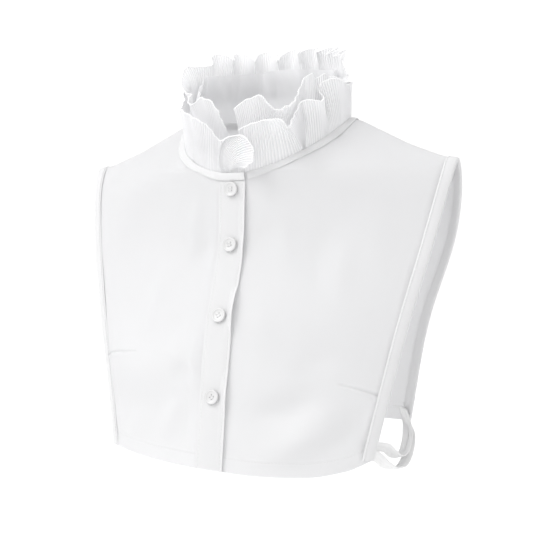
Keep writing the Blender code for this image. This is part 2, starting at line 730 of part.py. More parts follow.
def tier_stations(start, waves, end):
    """Stations of a whole tier, with the plain waves spread evenly between its two shaped ends."""
    rows = list(zip(*(start[name] for name in STATION_COLUMNS)))
    at = start["at"][-1]
    scale = (end["at"][0] - at) / sum(waves["width"])
    count = len(waves["width"])
    for k in range(count):
        width = waves["width"][k] * scale
        after = (k + 1) % count
        crest, trough, next_trough = waves["crest"][k], waves["trough"][k], waves["trough"][after]
        top, notch, next_notch = waves["top"][k], waves["notch"][k], waves["notch"][after]
        outs = (trough, (trough + crest) / 2, crest, (crest + next_trough) / 2)
        ups = (notch, SHOULDER_SHARE * top + (1 - SHOULDER_SHARE) * notch, top,
               SHOULDER_SHARE * top + (1 - SHOULDER_SHARE) * next_notch)
        sides = (0.0, -GATHER * width, 0.0, GATHER * width)
        for phase in range(4):
            if k or phase:
                place = (at + width * phase / 4, waves["bend"][k], top / 2, 0.0)
                rows.append(place + (outs[phase], ups[phase], sides[phase]))
        at += width
    rows += zip(*(end[name] for name in STATION_COLUMNS))
    return named(STATION_COLUMNS, *rows)


def tier_curve(tier, angle):
    """Shape of a tier's cloth from its seam to its edge, at an angle round the neck."""
    at = linear(tier["walk"]["angle"], tier["walk"]["length"], angle)
    curve = {name: smooth(tier["stations"], "at", name, at) for name in STATION_COLUMNS[1:]}
    curve["rise"] = tier["rise"](angle)
    curve["foot"] = GAP + CLOTH / 2 - stand_lean(curve["rise"])
    return curve


def on_curve(curve, t):
    """Outward, upward and sideways reach from the neckline at a share of the strip's depth."""
    bend = radians(curve["bend"])
    near, far = 2 * t * (1 - t), t * t
    out = curve["foot"] + near * curve["waist"] * sin(bend) / cos(bend) + far * curve["out"]
    up = curve["rise"] + near * curve["waist"] + far * curve["up"]
    return out, up, near * curve["low"] + far * curve["side"]


def reach_at_height(curve, height):
    """How far out a tier's cloth stands at a height, or None where it doesn't reach."""
    before = on_curve(curve, 0.0)
    if height < before[1] - LAYER:
        return None
    steps = 10
    for k in range(1, steps + 1):
        after = on_curve(curve, k / steps)
        if after[1] >= height:
            t = clamp((height - before[1]) / max(after[1] - before[1], 1e-6), 0.0, 1.0)
            return before[0] + (after[0] - before[0]) * t
        before = after
    return None


def upper_seam(angle):
    return UPPER_SEAM_HEIGHT


def lower_seam(angle):
    """Height of the lower tier's seam, clear of the neck binding where that lies level."""
    x, z = neck_xz(angle)
    return 0.6 + LAYER * max(0.0, out_of_panel(neck_panel(angle), x, z).z)


def make_tier(name, stations, rise, first_x, last_x):
    return {"name": name, "stations": stations, "rise": rise, "walk": seam_walk(first_x, last_x)}


def tier_columns(tier):
    """Angles at which a tier's cloth has a column, closer together where its edge runs further."""
    angles = tier["walk"]["angle"]
    passed = [0.0]
    before = None
    for angle, length in zip(angles, tier["walk"]["length"]):
        out, up, side = on_curve(tier_curve(tier, angle), 1.0)
        now = Vector((out, up, length + side))
        if before:
            step = max(length - before[0], (now - before[1]).length * EDGE_SHARE)
            passed.append(passed[-1] + step)
        before = (length, now)
    count = round(passed[-1] / RUFFLE_COLUMN)
    return [linear(passed, angles, passed[-1] * k / count) for k in range(count + 1)]


def make_ruffle(tier, levels, pleat, plain, under, collection):
    """Gathered strip whose edge runs in waves, lying over the tier under it.

    Its pleats leave out the plain stretch of its seam.
    """
    angles = tier_columns(tier)
    curves = [tier_curve(tier, angle) for angle in angles]
    below = [None] * len(angles)
    if under:
        first, last = under["walk"]["angle"][0], under["walk"]["angle"][-1]
        below = [tier_curve(under, angle) if first <= angle <= last else None for angle in angles]
    heights = []
    for k, angle in enumerate(angles):
        at = linear(tier["walk"]["angle"], tier["walk"]["length"], angle)
        heights.append(0.0 if plain[0] < at < plain[1] else pleat * (1 if k % 2 else -1))

    def place(row, column):
        out, up, sideways = on_curve(curves[column], levels[row])
        for near in below[max(column - 1, 0):column + 2]:
            behind = reach_at_height(near, up) if near else None
            if behind is not None:
                out = max(out, behind + TIER_SPACING)
        out += heights[column] * clamp((levels[row] - PLEATS_FROM) * 4, 0.0, 1.0)
        outward = neck_outward(angles[column])
        along = Vector((-outward.y, outward.x, 0.0))
        return neck_point(angles[column]) + outward * out + along * sideways + Vector((0, 0, up))

    sheet = thicken(grid_sheet(tier["name"], len(levels), len(angles), place), offset=0.0)
    return finish(sheet, collection, ORGANZA_WHITE, 0.6)


def linear(xs, ys, at):
    i = clamp(bisect_right(xs, at) - 1, 0, len(xs) - 2)
    t = (at - xs[i]) / (xs[i + 1] - xs[i])
    return ys[i] + (ys[i + 1] - ys[i]) * t


def make_button(name, height, collection):
    """Turned button with a raised rim round a dished middle."""
    half = BUTTON_THICKNESS / 2
    profile = (
        (0.0, half - 0.7),
        (BUTTON_RADIUS * 0.55, half - 0.6),
        (BUTTON_RADIUS * 0.72, half),
        (BUTTON_RADIUS * 0.9, half - 0.1),
        (BUTTON_RADIUS, half - 0.6),
        (BUTTON_RADIUS * 0.97, -half + 0.4),
        (BUTTON_RADIUS * 0.85, -half),
        (0.0, -half),
    )
    mesh = bpy.data.meshes.new(name)
    bm = bmesh.new()
    points = [bm.verts.new((r * MM, 0.0, h * MM)) for r, h in profile]
    for a, b in zip(points, points[1:]):
        bm.edges.new((a, b))
    bm.to_mesh(mesh)
    bm.free()
    mesh.shade_smooth()
    mesh.set_sharp_from_angle(angle=radians(40.0))
    button = bpy.data.objects.new(name, mesh)
    bpy.context.scene.collection.objects.link(button)
    turn = button.modifiers.new("Turn", "SCREW")
    turn.steps = 24
    turn.render_steps = 24
    turn.use_merge_vertices = True
    turn.merge_threshold = 0.00001
    outward = out_of_panel(FRONT, 0.0, height)
    middle = on_panel(FRONT, 0.0, height)
    highest = 0.0
    for k in range(8):
        turned = 2 * pi * k / 8
        x, z = BUTTON_RADIUS * cos(turned), height + BUTTON_RADIUS * sin(turned)
        highest = max(highest, (on_panel(FRONT, x, z) - middle).dot(outward))
    seat = middle + outward * (2 * LAYER + highest + GAP + half)
    button.location = seat * MM
    button.rotation_euler = outward.to_track_quat("Z", "Y").to_euler()
    return finish(button, collection, BUTTON_WHITE, 0.35)


def make_strand(name, route, side, collection):
    """One strand of the doubled ribbon from the front hem corner to the back one."""
    across = (-0.5, 0.0, 0.5)
    count = 25
    keys = list(range(len(route["x"])))
    table = dict(route, step=keys)

    def place(row, column):
        at = keys[-1] * row / (count - 1)
        spot = Vector([smooth(table, "step", name_, at) for name_ in ("x", "y", "z")])
        width = Vector([smooth(table, "step", name_, at) for name_ in ("wx", "wy", "wz")])
        point = spot + width.normalized() * across[column] * STRAP_WIDTH
        return Vector((side * point.x, point.y, point.z))

    sheet = thicken(grid_sheet(name, count, len(across), place), offset=0.0)
    return finish(sheet, collection, CLOTH_WHITE)


def clear_scene():
    for thing in list(bpy.data.objects):
        bpy.data.objects.remove(thing, do_unlink=True)
    for mesh in list(bpy.data.meshes):
        bpy.data.meshes.remove(mesh)


def main():
    clear_scene()
    collection = bpy.data.collections.new("ruffled_collar")
    bpy.context.scene.collection.children.link(collection)
    make_front("front_right", -1.0, collection)
    make_front("front_left", 1.0, collection)
    make_back(collection)
    make_placket(collection)
    make_neck_binding(collection)
    for label, side in (("left", 1.0), ("right", -1.0)):
        make_arm_binding("armhole_binding_front_" + label, FRONT, side, collection)
        make_arm_binding("armhole_binding_back_" + label, BACK, side, collection)
        make_strand("side_strap_outer_" + label, OUTER_STRAND, side, collection)
        make_strand("side_strap_inner_" + label, INNER_STRAND, side, collection)
    make_stand(collection)
    stations = tier_stations(UPPER_START, UPPER_WAVES, UPPER_END)
    upper = make_tier("ruffle_upper", stations, upper_seam, *UPPER_ENDS)
    stations = tier_stations(LOWER_START, LOWER_WAVES, LOWER_END)
    lower = make_tier("ruffle_lower", stations, lower_seam, *LOWER_ENDS)
    make_ruffle(upper, (0.0, 0.22, 0.45, 0.65, 0.84, 1.0), UPPER_PLEAT, UPPER_PLAIN, None, collection)
    make_ruffle(lower, (0.0, 0.3, 0.55, 0.8, 1.0), LOWER_PLEAT, (0.0, 0.0), upper, collection)
    for k, height in enumerate(BUTTON_HEIGHTS):
        make_button("button_%d" % (k + 1), height, collection)


main()
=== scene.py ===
"""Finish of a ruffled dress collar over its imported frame: cotton bib, sheer pleated ruffles, ribbon
straps, buttons and stitching.

Sizes are in millimetres and become metres when a mesh is made.  +X is the wearer's left.
"""
from math import atan2, cos, pi, radians, sin

import bmesh
import bpy
import numpy as np
from bpy.props import FloatProperty, FloatVectorProperty, IntProperty, PointerProperty
from mathutils import Matrix, Vector


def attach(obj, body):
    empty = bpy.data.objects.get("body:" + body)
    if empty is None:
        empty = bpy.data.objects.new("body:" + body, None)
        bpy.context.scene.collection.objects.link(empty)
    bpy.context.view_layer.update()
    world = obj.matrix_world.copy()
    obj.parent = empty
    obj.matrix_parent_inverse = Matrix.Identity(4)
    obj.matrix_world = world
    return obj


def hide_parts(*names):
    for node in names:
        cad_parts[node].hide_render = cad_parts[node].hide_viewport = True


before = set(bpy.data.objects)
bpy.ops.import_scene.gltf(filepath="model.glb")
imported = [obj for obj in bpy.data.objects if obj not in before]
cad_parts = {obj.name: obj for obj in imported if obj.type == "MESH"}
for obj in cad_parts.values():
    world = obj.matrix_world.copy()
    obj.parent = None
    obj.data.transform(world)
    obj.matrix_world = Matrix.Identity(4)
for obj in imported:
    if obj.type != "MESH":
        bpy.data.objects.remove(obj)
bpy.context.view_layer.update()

bl_info = {
    "name": "Ruffled dress collar",
    "version": (1, 0, 0),
    "blender": (4, 5, 0),
    "location": "View3D > Sidebar > Collar",
    "description": "Sews the cloth, ruffles, straps and buttons of a ruffled dress collar",
    "category": "Object",
}

MM = 0.001
# Cloth is shaded smooth up to this bend between two faces
CLOTH_SMOOTHING = radians(62.0)
# A layer of cloth and the air over it, where pieces lie over each other
LAYER = 1.3

# Neck opening and shoulders, as cut
NECK_HALF_WIDTH = 70.5
NECK_SIDE_Z = 2.5
NECK_FRONT_Z = -41.7
NECK_BACK_Z = 9.0
NECK_FRONT_POWER = 1.3
NECK_BACK_POWER = 1.5
NECK_SLOPE = 1.0
NECK_BEND = 0.01
SHOULDER_TIP = 162.0
MID_Y = -1.5
SEAM_HALF = 0.06
# How the cloth turns over the shoulder line: its reach at the tip and the growth of that inwards,
# and how much sharper it turns at the neck
ROUND_AT_TIP = 31.5
ROUND_GROWTH = 0.25
NECK_SHARPNESS = 0.25
NECK_SOFTNESS = 0.3
# The form is averaged sideways below the neck's sides: offsets and shares, and where that holds
NECK_BLEND = (
    (-12.0, 0.1), (-8.0, 0.15), (-4.0, 0.15), (0.0, 0.2), (4.0, 0.15), (8.0, 0.15), (12.0, 0.1),
)
BLEND_REACH = 26.0
BLEND_BELOW = 4.0
BLEND_FADE = 20.0

# Hems, bindings and closure
BACK_HEM_Z = -241.5
HEM_FOLD = 12.0
ARM_BINDING = 8.5
NECK_BINDING = 6.5
NECK_RING = 7.0
PLACKET_HALF = 11.5
PLACKET_TOP = -48.4
OVERLAP = 10.5
LIFT_END = 22.0
LIFT_START = 6.0
LIFT_MARGIN = 1.0
EDGE_LIFT_TOP = -48.0
EDGE_LIFT_FADE = 25.0
# How far the placket's strip lies over the front, how much it is rounded, and its stitched line
STRIP_RISE = 0.8
STRIP_CROWN = 0.25
STRIP_STITCH = 9.3
BAND_STITCH = 7.3
BAND_STITCH_RISE = 1.06
NECK_STITCH = NECK_BINDING - 1.0
NECK_STITCH_DIP = 0.12
HEM_STITCH = HEM_FOLD - 1.6

# Pressed lines beside a seam: place beside it, half width and height
BAND_GROOVE = (0.7, 0.7, -0.6)
HEM_GROOVE = (-1.6, 0.6, -0.3)
HEM_THICKENING = 0.28
HEM_STEP = 0.8
DART_SEAM = (0.0, 0.85, -1.1)
DART_LOWER_LIP = (-2.4, 1.8, 0.6)
DART_UPPER_LIP = (2.4, 2.2, 0.3)
DART_AT_POINT = 0.45
DART_CLOSING = 0.7
GROOVE_FROM_HEM = 6.0
GROOVE_FROM_TOP = 8.0
STRIP_GROOVE = (STRIP_STITCH, 0.5, 0.22)
BUTTON_PULL = (0.0, 3.2, 0.3)
PULL_WAVES = 0.9

# Rows of a panel's cloth, closer at the top, with more at the hem and along a dart
PANEL_ROWS = 104
ROW_CLOSENESS = 1.8
HEM_ROWS = np.linspace(0.0, 0.058, 16)
RIGHT_DART_ROWS = np.linspace(0.27, 0.35, 42)
LEFT_DART_ROWS = np.linspace(0.18, 0.27, 42)
BACK_ROWS = np.linspace(0.0, 0.05, 42)
# Rows and columns of the smaller cloths
STRIP_COLUMNS, STRIP_ROWS = 48, 150
NECK_BAND_ROWS, NECK_BAND_COLUMNS = 13, 420
ARM_BAND_COLUMNS = 170
STRAP_COLUMNS = 120
STAND_ROWS, STAND_COLUMNS = 26, 420
# Columns of half a panel that end at the neckline and at the shoulder line, the share of the hem
# under the neck, and the height at which the hem's width is taken
NECK_COLUMNS = 58
SHOULDER_COLUMNS = 46
UNDER_NECK = 0.68
HEM_LEVEL = -262.0
# How late the rows turn up to close the shoulder line
CLOSING_POWER = 8
# How the soft folds bow and taper, and how far from hem, side, top and placket they die out
FOLD_BOW = 0.06
FOLD_TAPER = 0.1
FOLD_FROM_HEM = 30.0
FOLD_FROM_SIDE = 22.0
FOLD_FROM_TOP = 30.0
FOLD_FROM_STRIP = 9.0

# Collar
STAND_HEIGHT = 39.6
STAND_FOOT = 0.3
STAND_INSET = 0.6
STAND_LEAN = 14.0
STAND_END = radians(3.5)
STAND_END_CUT = 12.0
STAND_CUT_ANGLE = radians(22.0)
# Its puckers: broad swaying waves and small ones round it, and how they deepen upwards
STAND_PUCKER = 1.6
STAND_WAVES = (17, 0.8, 5)
STAND_WAVE = 0.5
SMALL_WAVES = 29
SMALL_WAVE = 0.22
PUCKER_START = 0.3
PUCKER_GROWTH = 1.3
UPPER_SEAM_HEIGHT = 18.5
TIER_FOOT = 0.8
LOWER_FOOT = 0.6
TIER_SPACING = LAYER + 1.2
GATHER = 0.1
SHOULDER_SHARE = 0.62
TIER_STEPS = 1441
# Places across the front of a tier's left and right ends
UPPER_ENDS = (4.0, -4.5)
LOWER_ENDS = (5.0, -2.0)
STRIP_SHARES = np.linspace(-0.03, 1.0, 22)
# A pleat's four points, how uneven the pleats are and in what waves, and their height from the
# seam up
PLEAT_FOLD = np.array([0.0, 1.0, 0.0, -1.0])
PLEAT_UNEVENNESS = 0.22
PLEAT_WAVERS = ((23, 1.3), (7.3, 0.4))
PLEAT_AT_SEAM = 0.55
PLEAT_GROWTH = 1.5
# Flutes of a tier's edge: their height, their number with its sway, and how close to the edge
FLUTE_HEIGHT = 0.55
FLUTES = (57, 2.5, 9)
FLUTE_POWER = 5

# Buttons: a raised rim round a dished middle, holes, and two bars of thread
BUTTON_HEIGHTS = (-54.5, -98.3, -153.1, -214.6)
BUTTON_RADIUS = 5.7
BUTTON_THICKNESS = 2.2
BUTTON_INSETS = ((1.15, 0.0), (0.75, -0.6), (1.6, -0.15))
BUTTON_ROUNDING = 0.38
HOLE_RADIUS = 0.6
HOLE_FROM_MIDDLE = 1.6
BAR_RADIUS = 0.32
BAR_LENGTH = 2.7
BAR_FROM_MIDDLE = 1.13
BAR_HEIGHT = 0.5
BAR_ROUNDING = 0.25
BUTTON_TURN = 0.3

STRAP_THICKNESS = 0.45

# A stitch: place along it and thickness there, its length as a share of the pitch, and how far
# its middle rises from the cloth and its ends go in
STITCH_SHAPE = ((-0.5, 0.35), (-0.32, 1.0), (0.32, 1.0), (0.5, 0.35))
STITCH_SIDES = 4
STITCH_LENGTH = 0.78
STITCH_RISE = 0.05
STITCH_DIP = -0.1


def named(columns, *rows):
    """A short table as a dictionary of columns."""
    return {name: np.array([row[i] for row in rows], float) for i, name in enumerate(columns)}


FRONT = named(
    ("z", "centre", "edge", "edge_x"),
    (-274, 109.3, 61, 111.5),
    (-220, 101.5, 51.5, 122.5),
    (-162, 91.2, 41.9, 135.3),
    (-90, 68.6, 24.8, 152),
    (-41, 66.8, 11, 160.5),
    (-33, 61, 10, 161.5),
    (-20, 49, 9.5, 162),
    (-7, 41, 9, 162),
    (3, 38, 9, 162),
)
BACK = named(
    ("z", "centre", "edge", "edge_x"),
    (-242, 70.9, 47.9, 101.5),
    (-162, 77.1, 49.5, 116.8),
    (-90, 80, 35.3, 146.3),
    (-41, 75, 12.5, 160.5),
    (-10, 59, 10, 162),
    (9, 48.5, 9, 162),
)
SHOULDER = named(
    ("x", "z"),
    (72, 2.5),
    (80, 0.6),
    (88, -3),
    (95, -6.5),
    (105, -11.3),
    (120, -18.5),
    (135, -24.3),
    (150, -29.5),
    (162, -32.3),
)
FRONT_HEM = named(
    ("x", "z"),
    (-115, -259.3),
    (-54, -264.9),
    (0, -269.5),
    (50, -273.6),
    (72, -274),
    (98, -269.8),
    (113, -262.5),
)
# Stations along a tier's seam, from the wearer's left front end round the back to the right one:
# the angle of the cloth from upright at the seam, the height and the sideways shift of the point
# that it bends round, and the reach of its edge outwards, upwards and sideways
STATION_COLUMNS = ("at", "bend", "waist", "low", "out", "up", "side")
UPPER_START = named(
    STATION_COLUMNS,
    (0, -2, 17, -0.2, 8, 30.9, -0.7),
    (8, 0, 19, 0, 12, 34.8, 0),
    (15, 0, 20, -0.1, 15, 36.2, -0.2),
    (22, 0, 20, -0.7, 16, 36.1, -2.2),
    (28, 0, 20, -1.2, 17, 31.9, -4.2),
    (33, 0, 20, -1.7, 18, 25.1, -5.7),
    (38, 0, 20, -1.9, 17, 19.1, -6.3),
    (44, -2, 19, -1.9, 13, 18.8, -6.3),
    (50, -4, 18, -1.2, 7, 20.2, -4.1),
    (54, -8, 18, -0.7, 1, 23.3, -2.5),
    (59, -11, 18, -0.2, -4, 29.5, -0.8),
    (64, -11, 19, 0.2, -6, 35.5, 0.8),
    (70, -11, 19, 0.9, -7.5, 36.5, 3.1),
    (76, -11, 19, 0.8, -7, 30, 2.7),
    (82, -11, 19, 1.3, -6, 30.7, 4.3),
    (88, -10, 19, 1.2, -5, 26.5, 4.2),
    (94, -8, 19, 1, -2, 22.9, 3.3),
    (99, -4, 20, 0.2, 3, 18.6, 0.7),
    (103, 0, 21, 0.3, 7, 14.4, 1.1),
    (107, -2, 20, 1.1, 4, 17.9, 3.5),
    (112, -6, 19, 0, 0, 24.8, 0),
    (118, -8, 18, 0, -4, 30.5, 0),
)
UPPER_END = named(
    STATION_COLUMNS,
    (290, -8, 18, 0, -6, 30, 0),
    (300, -6, 19, 1, 2, 29.3, 3.4),
    (310, -4, 19, -0.3, 7, 32, -1),
    (318, -3, 19, -1.5, 9, 32.7, -4.9),
    (327, -3, 19, -2.4, 9, 29.1, -7.9),
    (336, -3, 18, -2, 7, 25.4, -6),
    (343, -4, 18, 0, 3, 24, 0),
    (350, -6, 18, 0, -1, 25, 0),
    (358, -6, 18, 0, 0, 27.9, 0),
    (367, -5, 18, -1, 3, 27.7, -3),
    (376, -4, 18, -1.5, 4, 27.1, -4.6),
    (385, -4, 18, -0.5, 5, 31.7, -1.3),
    (392, -2, 19, 1.5, 9, 36.4, 3.8),
    (399, 0, 20, 2.4, 12, 36.4, 5.9),
    (405, 0, 19, 2, 12, 32.6, 5.1),
    (411, 0, 17, 0.7, 10, 26.9, 1.9),
    (416.6, 0, 14, -0.6, 8, 19.2, -1.4),
)
LOWER_START = named(
    STATION_COLUMNS,
    (0, 12, 18, 1.4, 9, 31.4, 4.8),
    (6, 14, 19, 1.6, 13, 33.5, 5.3),
    (13, 14, 20, 0.7, 15, 33.6, 2.5),
    (20, 14, 20, -0.2, 17, 32.9, -0.7),
    (28, 14, 20, -1.9, 19, 31.5, -4.7),
    (36, 14, 20, -3.2, 20, 29.6, -7.9),
    (43, 14, 19, -5, 20, 25.9, -11),
    (49, 12, 17, -7.6, 19, 20.5, -15.1),
    (54, 8, 15, -8, 15, 14.7, -18.4),
    (56, 2, 18, -4.3, 5, 24.7, -10.8),
    (58, 0, 19, -1.4, 1, 34.5, -4.8),
    (62, 8, 20, -2.9, 5, 33.6, -7.3),
    (68, 12, 20, -3.8, 9, 31.1, -9.6),
    (74, 12, 20, -4.4, 10, 28.1, -11),
    (78, 8, 19, -3.5, 7, 25.6, -8.7),
    (81, 0, 19, -2.2, 1, 28.8, -5.5),
    (84, -4, 19, -3.6, -3, 33.9, -8.9),
    (88, 0, 19, -4.2, -2, 36.7, -10.4),
    (93, 4, 20, -4.2, 1, 36.6, -10.5),
    (98, 6, 20, -3.8, 3, 34.8, -9.6),
    (103, 4, 20, -2.8, 2, 31.8, -7.1),
    (108, 3, 19, -2.7, 1, 28.3, -6.7),
    (113, 4, 18, -2, 0, 25, -5),
    (119, 2, 18, 0, -1, 26, 0),
)
LOWER_END = named(
    STATION_COLUMNS,
    (330, 2, 18, 0, 1, 31, 0),
    (341, 4, 18, 0, 2, 31, 0),
    (352, 6, 19, 0, 3, 33, 0),
    (361, 10, 19, 1, 6, 34.5, 3),
    (371, 12, 20, 3, 10, 36, 8),
    (381, 14, 20, 4, 12, 36, 10),
    (390, 14, 19, 4, 13, 35, 11),
    (397, 12, 18, 3.5, 11, 32.1, 10),
    (403, 8, 17, 2.8, 9, 27.7, 7),
    (407, 6, 16, 2, 8, 23.2, 6.7),
    (409, 5, 18, 0, 9, 24.9, 10.6),
    (410.8, 6, 20, -3.1, 11, 26.7, 15.6),
    (412.5, 8, 21, -5, 14, 27, 22),
    (414, 8, 20, -3, 15, 25, 26.5),
    (415.2, 8, 17, 0, 16, 20, 30),
    (416.3, 8, 13, 3, 16, 13, 31),
    (417.2, 8, 9, 5, 15, 6.8, 28),
    (418.1, 8, 5, 6, 12, 2.3, 18),
)
# Plain waves round the sides and the back: share of the seam, angle from upright at the seam,
# outward reach of the edge at the crest and in the trough before it, and its height at both
WAVE_COLUMNS = ("width", "bend", "crest", "trough", "top", "notch")
UPPER_WAVES = named(
    WAVE_COLUMNS,
    (20, -8, 0, -4, 34, 31),
    (21, -8, 5, -7, 38, 32),
    (22, -8, 8, -8, 41, 34),
    (19, -8, 8, -8, 40, 35),
    (20, -8, 7, -9, 39, 34),
    (27, -8, 8, -9, 40, 29),
    (22, -8, 9, -9, 40, 31),
    (21, -8, 5, -8, 40, 34),
)
LOWER_WAVES = named(
    WAVE_COLUMNS,
    (26, 0, 2, -1, 28, 26),
    (27, 0, 4, -3, 31, 29),
    (26, 0, 6, -4, 33, 31),
    (28, 0, 7, -5, 33, 31),
    (25, 0, 6, -5, 33, 31),
    (26, 0, 7, -5, 33, 30.5),
    (26, 0, 5, -5, 32.5, 30.5),
    (26, 0, 4, -4, 32, 30),
)
# Route of the outer and the inner strand of a side strap on the wearer's left, front to back:
# place, and the way that the strand's width runs.
STRAND_COLUMNS = ("x", "y", "z", "wx", "wy", "wz")
OUTER_STRAND = named(
    STRAND_COLUMNS,
    (103, -64.3, -252.5, 0.1, 0.1, 1),
    (109.3, -57, -256.5, 0.3, 0.1, 1),
    (112.2, -44, -262.5, 0.6, 0, 0.9),
    (112, -28, -269.5, 0.9, 0, 0.4),
    (110.5, -10, -274, 1, 0, 0.1),
    (109, 7, -274.5, 1, 0.1, 0),
    (108, 20, -270.5, 1, 0.3, 0),
    (106.8, 31, -262, 0.9, 0.4, 0),
    (104.5, 39, -252.5, 0.9, 0.2, 0),
    (100.5, 43.8, -243.5, 0.9, -0.4, 0),
    (96.4, 45.3, -233, 0.9, -0.42, 0),
)
INNER_STRAND = named(
    STRAND_COLUMNS,
    (102, -63.2, -250.5, 0.1, 0.1, 1),
    (107.5, -55.5, -252.5, 0.3, 0.1, 1),
    (110.2, -42, -254, 0.5, 0, 0.9),
    (110, -26, -256, 0.7, 0, 0.7),
    (109, -9, -262.5, 0.8, 0, 0.5),
    (108, 5, -266.5, 1, 0, 0.2),
    (107.3, 17, -264.5, 1, 0.2, 0),
    (106, 27.5, -257.5, 0.9, 0.4, 0),
    (103.8, 36, -249.5, 0.9, 0.2, 0),
    (99.8, 42.2, -241.5, 0.9, -0.4, 0),
    (95.8, 43.9, -231.5, 0.9, -0.42, 0),
)

SIDES = (("left", 1.0), ("right", -1.0))

# How far the free edge of the closing stands off the front under it
FREE_EDGE = named(
    ("z", "lift"),
    (-274, 0.2),
    (-246, 0.4),
    (-228, 0.7),
    (-217, 2),
    (-204, 1.1),
    (-190, -0.1),
    (-172, -0.2),
    (-161, 1.6),
    (-150, 3.2),
    (-138, 2.2),
    (-128, -0.1),
    (-112, 0.3),
    (-98, 1.9),
    (-84, 0.9),
    (-62, 0.7),
    (-48, 0.3),
)
# Soft folds pressed in or standing out of the worn bib: ends of a fold, its half width and how far
# it stands out of the cloth
FOLD_COLUMNS = ("x0", "z0", "x1", "z1", "width", "height")
RIGHT_FOLDS = named(
    FOLD_COLUMNS,
    (-150, -190, 6, -184, 27, 8),
    (-110, -236, -58, -240, 14, 2.2),
    (-24, -212, -46, -252, 9, 2.4),
    (-34, -62, -30, -112, 8, 2.2),
    (-58, -108, -68, -174, 10, 2.4),
    (-36, -146, -42, -180, 9, -1.8),
    (-20, -190, -34, -206, 8, -2),
    (-22, -92, -30, -124, 8, -1.6),
    (-62, -40, -92, -110, 17, -1.8),
    (-110, -50, -128, -130, 14, 1.8),
    (-84, -226, -96, -256, 9, -1.4),
)
LEFT_FOLDS = named(
    FOLD_COLUMNS,
    (42, -68, 52, -126, 9, 1.7),
    (72, -80, 78, -146, 9, -1.3),
    (96, -78, 91, -150, 9, 1.4),
    (27, -136, 46, -182, 10, 1.8),
    (24, -228, 82, -214, 12, -3.8),
    (26, -276, 94, -218, 12, 3.8),
    (82, -262, 114, -226, 10, -2.4),
    (96, -180, 60, -196, 11, -1.6),
    (112, -60, 118, -140, 13, 1.4),
    (20, -56, 40, -84, 9, 1.2),
)
BACK_FOLDS = named(
    FOLD_COLUMNS,
    (-54, -40, -64, -190, 16, -2),
    (-16, -30, -20, -170, 14, 1.8),
    (30, -36, 24, -150, 15, -1.8),
    (70, -50, 76, -180, 13, 2.2),
    (92, -96, 84, -214, 9, -2.4),
    (-100, -60, -92, -160, 14, 1.8),
    (108, -70, 98, -150, 10, -1.8),
    (-60, -214, 10, -206, 12, -1.6),
    (20, -222, 80, -206, 11, 1.8),
)
# Sewn darts, from the armhole edge inwards
DART_COLUMNS = ("x", "z")
RIGHT_DART = named(
    DART_COLUMNS, (-128.7, -190.9), (-117.6, -185.3), (-98, -183.4), (-76.5, -182.5)
)
LEFT_DART = named(DART_COLUMNS, (124, -216.5), (113.4, -211.4), (103.8, -207.6), (92, -204.6))


def smooth(table, key, name, at):
    """Cubic through a table's points that never overshoots them, level beyond its ends."""
    xs, ys = table[key], table[name]
    at = np.asarray(at, float)
    secants = np.diff(ys) / np.diff(xs)
    both = secants[:-1] * secants[1:]
    total = np.where(both > 0, secants[:-1] + secants[1:], 1.0)
    inner = np.where(both > 0, 2 * both / total, 0.0)
    slopes = np.concatenate(([secants[0]], inner, [secants[-1]]))
    i = np.clip(np.searchsorted(xs, at, side="right") - 1, 0, len(xs) - 2)
    span = xs[i + 1] - xs[i]
    t = np.clip((at - xs[i]) / span, 0.0, 1.0)
    rise = t * t * (3 - 2 * t)
    bend = t * (1 - t) ** 2 * span * slopes[i] - t * t * (1 - t) * span * slopes[i + 1]
    return ys[i] + (ys[i + 1] - ys[i]) * rise + bend


def smooth_columns(table, key, names, at):
    return np.stack([smooth(table, key, name, at) for name in names], axis=-1)


def ease(t):
    """Rises from 0 to 1 with level ends."""
    t = np.clip(t, 0.0, 1.0)
    return t * t * (3 - 2 * t)


def crease(away, place, half_width, height):
    """Height of a soft ridge, or of a trough, whose middle lies at a place beside a line."""
    return height * np.exp(-(((away - place) / half_width) ** 2))


def wavering(at, waves, sway, swings, lead=0.0):
    """Waves whose pitch sways a little as they go on."""
    return np.sin(at * waves + lead + sway * np.sin(at * swings))


def stack(x, y, z):
    x, y, z = np.broadcast_arrays(x, y, z)
    return np.stack([x, y, z], axis=-1).astype(float)


def unit(vectors):
    length = np.linalg.norm(vectors, axis=-1, keepdims=True)
    return vectors / np.where(length > 1e-12, length, 1.0)


def ridge(x):
    """Height of the shoulder line, carried on up the neck inside the neck opening."""
    inside = NECK_HALF_WIDTH - np.abs(x)
    up = NECK_SIDE_Z + NECK_SLOPE * inside + NECK_BEND * inside ** 2
    return np.where(inside > 0, up, smooth(SHOULDER, "x", "z", np.abs(x)))


def plain_depth(panel, x, z):
    """Depth of the worn cloth before it is eased beside the neck."""
    centre = smooth(panel, "z", "centre", z)
    edge = smooth(panel, "z", "edge", z)
    share = np.minimum(1.0, (x / smooth(panel, "z", "edge_x", z)) ** 2)
    across = centre + (edge - centre) * share
    reach = ROUND_AT_TIP + (SHOULDER_TIP - np.abs(x)) * ROUND_GROWTH
    t = np.clip((ridge(x) - z) / reach, 0.0, 1.0)
    inwards = (SHOULDER_TIP - np.abs(x)) / (SHOULDER_TIP - NECK_HALF_WIDTH)
    bent = np.clip(inwards - 1.0 + NECK_SOFTNESS, 0.0, 2.0 * NECK_SOFTNESS)
    near_neck = np.clip(inwards, 0.0, 1.0 + NECK_SOFTNESS) - bent ** 2 / (4.0 * NECK_SOFTNESS)
    return across * (1 - (1 - t) ** 2) ** (0.5 + NECK_SHARPNESS * near_neck)


